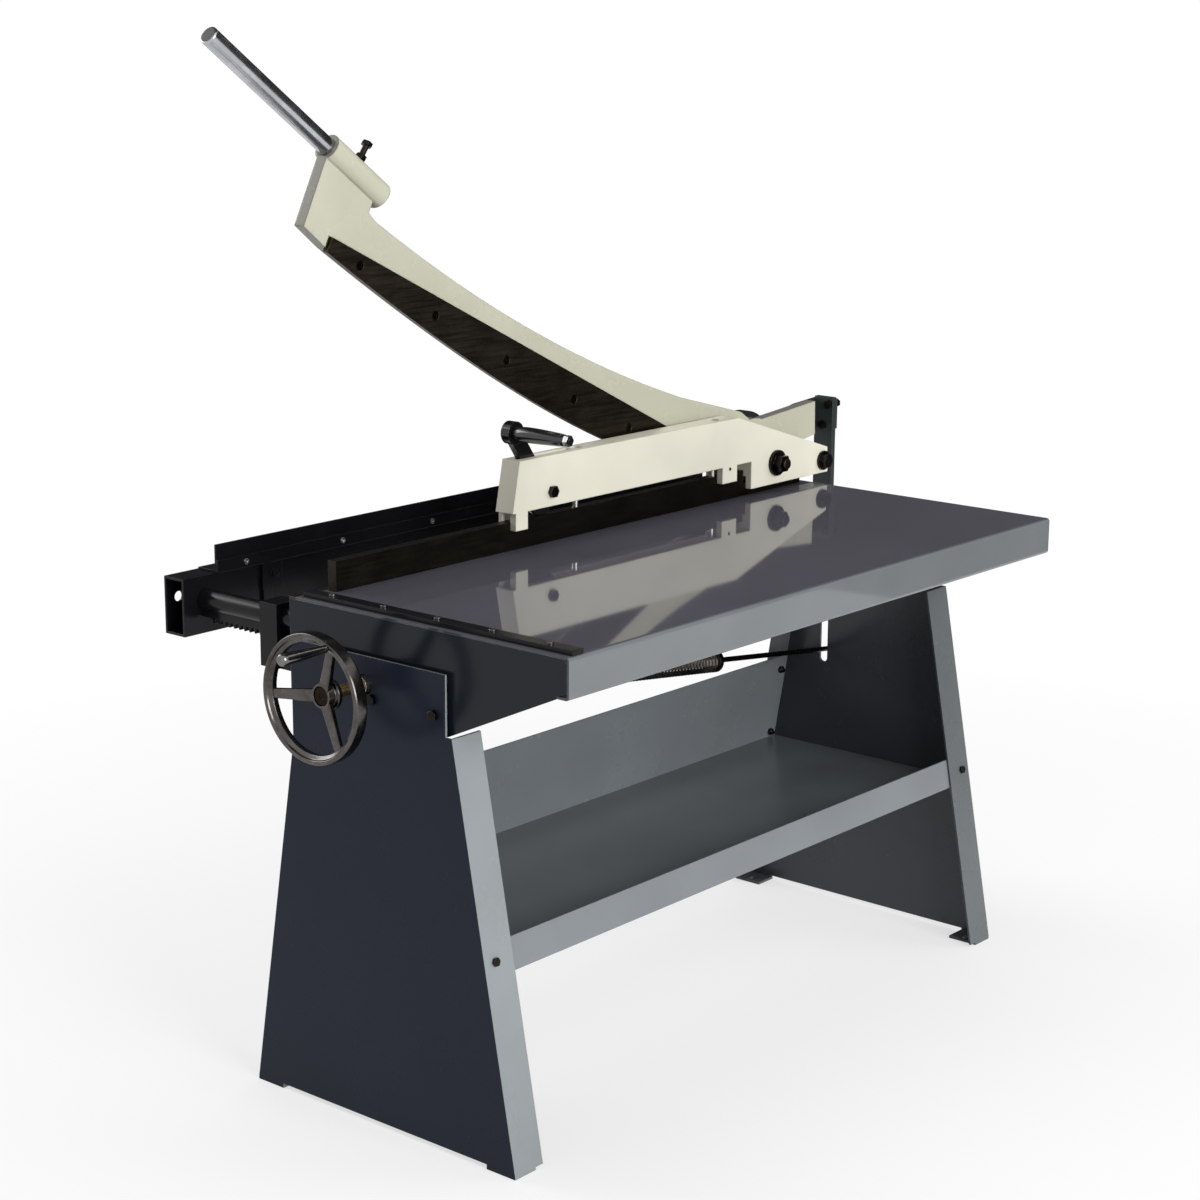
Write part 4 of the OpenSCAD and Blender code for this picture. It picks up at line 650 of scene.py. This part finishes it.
def castWheel():
    plan = wheelPlan
    half, out, inside = plan["rimHalf"], plan["rimOut"], plan["rimIn"]
    crown, crownWide, ledge = plan["crown"], plan["crownWide"], plan["ledge"]
    foot, ledgeWide, inner = plan["ledgeFoot"], plan["ledgeWide"], half * plan["innerShare"]
    rim = turnPiece([(-half, inside + ledge), (-half, out - crown), (-half + crownWide, out),
                     (half - crownWide, out), (half, out - crown), (half, inside + ledge),
                     (half - ledgeWide, inside + foot), (inner, inside), (-inner, inside),
                     (-half + ledgeWide, inside + foot), (-half, inside + ledge)], plan["rimSteps"])
    roundEdges(rim, plan["rimRound"], 3, 25)
    seat, front, rear = plan["seat"], plan["hubFront"], plan["hubRear"]
    hub = turnPiece([(seat, plan["bore"]), (seat, plan["sink"]), (front, plan["sink"]), (front, plan["hub"]),
                     (plan["hubStep"], plan["hub"]), (plan["flangeFront"], plan["flange"]),
                     (rear, plan["flange"]), (rear, plan["bore"]), (seat, plan["bore"])], plan["hubSteps"])
    roundEdges(hub, plan["hubRound"], 3, 30)
    reach = math.hypot(plan["dish"], inside + plan["spokeSink"])
    parts = [rim, hub] + [castSpoke(turn, reach) for turn in plan["spokes"]]
    thick, long, tip = plan["pin"], plan["pinLong"], plan["pinTip"]
    end = long + tip
    pin = turnPiece([(0, 0), (0, thick), (long, thick), (end, thick - tip), (end, 0), (0, 0)],
                    plan["pinSteps"])
    grip = math.radians(plan["gripAngle"])
    middle = (0, plan["gripRadius"] * math.cos(grip), plan["gripRadius"] * math.sin(grip))
    layPiece(pin, Matrix.Translation(middle) @ Matrix.Rotation(math.pi, 4, "Z"))
    parts.append(pin)
    clearSelection()
    for part in parts:
        part.select_set(True)
    bpy.context.view_layer.objects.active = rim
    bpy.ops.object.join()
    layPiece(rim, Matrix.Translation(plan["centre"]))
    rideAs(rim, "wheelCasting", "handwheel")
    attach(rim, "wheel")


# both grips, metres: distance along the grip and radius, from the bore's near end round and back to it
gripPlan = {
    "wheel": [(0, 0.0041), (0, 0.0058), (0.002, 0.0066), (0.005, 0.0062), (0.008, 0.0064), (0.030, 0.0078),
              (0.060, 0.0092), (0.084, 0.0100), (0.089, 0.0098), (0.092, 0.0088), (0.0936, 0.0072),
              (0.094, 0.0055), (0.094, 0.0), (0.0915, 0), (0.0915, 0.0041), (0, 0.0041)],
    "lever": [(0, 0.00605), (0, 0.0105), (0.0015, 0.0120), (0.005, 0.0124), (0.008, 0.0120),
              (0.011, 0.0124), (0.022, 0.0133), (0.038, 0.0135), (0.060, 0.0130), (0.085, 0.0119),
              (0.100, 0.0112), (0.104, 0.0104), (0.106, 0.0107), (0.109, 0.0102), (0.1115, 0.0090),
              (0.112, 0.0080), (0.112, 0.00605), (0, 0.00605)],
    "wheelSteps": 48, "leverSteps": 56,
}


def turnWheelGrip():
    middle, high = midOf("wheel_grip")
    grip = turnPiece(gripPlan["wheel"], gripPlan["wheelSteps"])
    layPiece(grip, Matrix.Translation((high[0], middle[1], middle[2])) @ Matrix.Rotation(math.pi, 4, "Z"))
    rideAs(grip, "wheelGripTurned", "wheel_grip")
    grip.data.materials[0] = finishes["gripSteel"]
    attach(grip, "wheel_grip")


def turnLeverGrip():
    middle, high = midOf("lever_grip")
    grip = turnPiece(gripPlan["lever"], gripPlan["leverSteps"])
    top = (middle[0], high[1], middle[2])
    layPiece(grip, Matrix.Translation(top) @ Matrix.Rotation(-math.pi / 2, 4, "Z"))
    rideAs(grip, "leverGripMoulded", "lever_grip")
    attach(grip, "lever_grip")


# handle bar, metres: where the boss begins, slope of the bar, its ends along the slope, radius, chamfer,
# and the rings that keep the shading straight along it
barPlan = {"start": (-0.4485, 0.217, 1.4678), "slope": 36.1, "from": 0.004, "to": 0.435, "radius": 0.015,
           "chamfer": 0.002, "rings": 12, "ringGap": 0.002, "sides": 96, "sawnFacing": 0.95}


def turnHandleBar():
    plan = barPlan
    near, far, out, cut = plan["from"], plan["to"], plan["radius"], plan["chamfer"]
    gap, count = plan["ringGap"], plan["rings"]
    rings = [near + gap + (far - cut - near - 2 * gap) * share / count for share in range(count + 1)]
    bar = turnPiece([(near, 0), (near, out)] + [(along, out) for along in rings]
                    + [(far - cut, out), (far - cut * 0.4, out - cut * 0.3), (far, out - cut),
                       (far, out - cut * 1.5), (far, 0)], plan["sides"])
    lean = math.radians(plan["slope"] - 180)
    layPiece(bar, Matrix.Translation(plan["start"]) @ Matrix.Rotation(lean, 4, "Y"))
    rideAs(bar, "handleBarTurned", "handle_bar")
    # the sawn end is left dark
    bar.data.materials.append(finishes["sawnSteel"])
    along = Matrix.Rotation(lean, 3, "Y") @ Vector((1, 0, 0))
    for face in bar.data.polygons:
        if face.normal.dot(along) > plan["sawnFacing"]:
            face.material_index = 1
    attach(bar, "arm")


# small pieces, metres: the plug in the hub, sunk a little in its middle, and the screw in the beam's prong
smallPlan = {"plugFront": 0.0140, "plugRear": 0.0198, "plugOut": 0.0153, "plugEdge": 0.001,
             "dent": 0.0060, "dentFoot": 0.0045, "dentDeep": 0.0012,
             "prongScrew": (0.4096, 0.150, 0.9124), "prongOut": 0.0032, "prongProud": 0.0018,
             "prongSunk": 0.001}


def addSmall(piece, name, body, finish):
    namePiece(piece, name, finishes[finish])
    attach(piece, body)


def addSmalls():
    plan = smallPlan
    front, rear, out, edge = plan["plugFront"], plan["plugRear"], plan["plugOut"], plan["plugEdge"]
    floor = front + plan["dentDeep"]
    plug = turnPiece([(rear, 0), (rear, out), (front + edge, out), (front, out - edge), (front, plan["dent"]),
                      (floor, plan["dentFoot"]), (floor, 0)])
    layPiece(plug, Matrix.Translation(wheelPlan["centre"]))
    # partly painted shade: the plug's dark brown is darkened for the shade in the hub's sunk front
    addSmall(plug, "hubPlug", "wheel", "hubBrownShaded")
    out, proud, sunk = plan["prongOut"], plan["prongProud"], plan["prongSunk"]
    screw = turnPiece([(sunk, 0), (sunk, out), (-proud * 0.4, out), (-proud, out * 0.6), (-proud, out * 0.3),
                       (-proud * 0.4, out * 0.3), (-proud * 0.4, 0)], 32)
    layPiece(screw, Matrix.Translation(plan["prongScrew"]) @ Matrix.Rotation(math.pi / 2, 4, "Z"))
    addSmall(screw, "prongScrew", "frame", "blackSteel")


windSpring()
print("spring wound")
turnHandleBar()
addSmalls()
print("handle bar and small pieces made")
castWheel()
turnWheelGrip()
turnLeverGrip()
print("handwheel and grips made")


# floor: side, how far it lies under the feet, tone, the share of plain white seen near the shear, and where
# it turns all white
floorPlan = {"side": 16, "under": 0.0005, "tone": (0.93, 0.93, 0.93), "rough": 0.6, "level": 0.1,
             "nearWhite": 0.62, "from": 1.0, "to": 2.6}


def makeFloor():
    plan = floorPlan
    clearSelection()
    bpy.ops.mesh.primitive_plane_add(size=plan["side"], location=(0, 0, -plan["under"]))
    floor = bpy.context.object
    floor.name = "studioFloor"
    bpy.ops.object.transform_apply(location=True, rotation=True, scale=True)
    mat, tree, shader = newMaterial("paleFloor", plan["tone"], plan["rough"])
    shader.inputs["Specular IOR Level"].default_value = plan["level"]
    reach = tree.nodes.new("ShaderNodeVectorMath")
    reach.operation = "LENGTH"
    tree.links.new(addPlace(tree), reach.inputs[0])
    whiter = addRange(tree, reach.outputs["Value"], plan["from"], plan["to"], plan["nearWhite"], 1)
    share = tree.nodes.new("ShaderNodeMath")
    share.operation = "MULTIPLY"
    tree.links.new(seenDirectly(tree), share.inputs[0])
    tree.links.new(whiter, share.inputs[1])
    white = tree.nodes.new("ShaderNodeEmission")
    mix = tree.nodes.new("ShaderNodeMixShader")
    tree.links.new(share.outputs["Value"], mix.inputs["Fac"])
    tree.links.new(shader.outputs["BSDF"], mix.inputs[1])
    tree.links.new(white.outputs["Emission"], mix.inputs[2])
    tree.links.new(mix.outputs["Shader"], tree.nodes["Material Output"].inputs["Surface"])
    floor.data.materials.append(mat)


makeFloor()
print("floor laid")
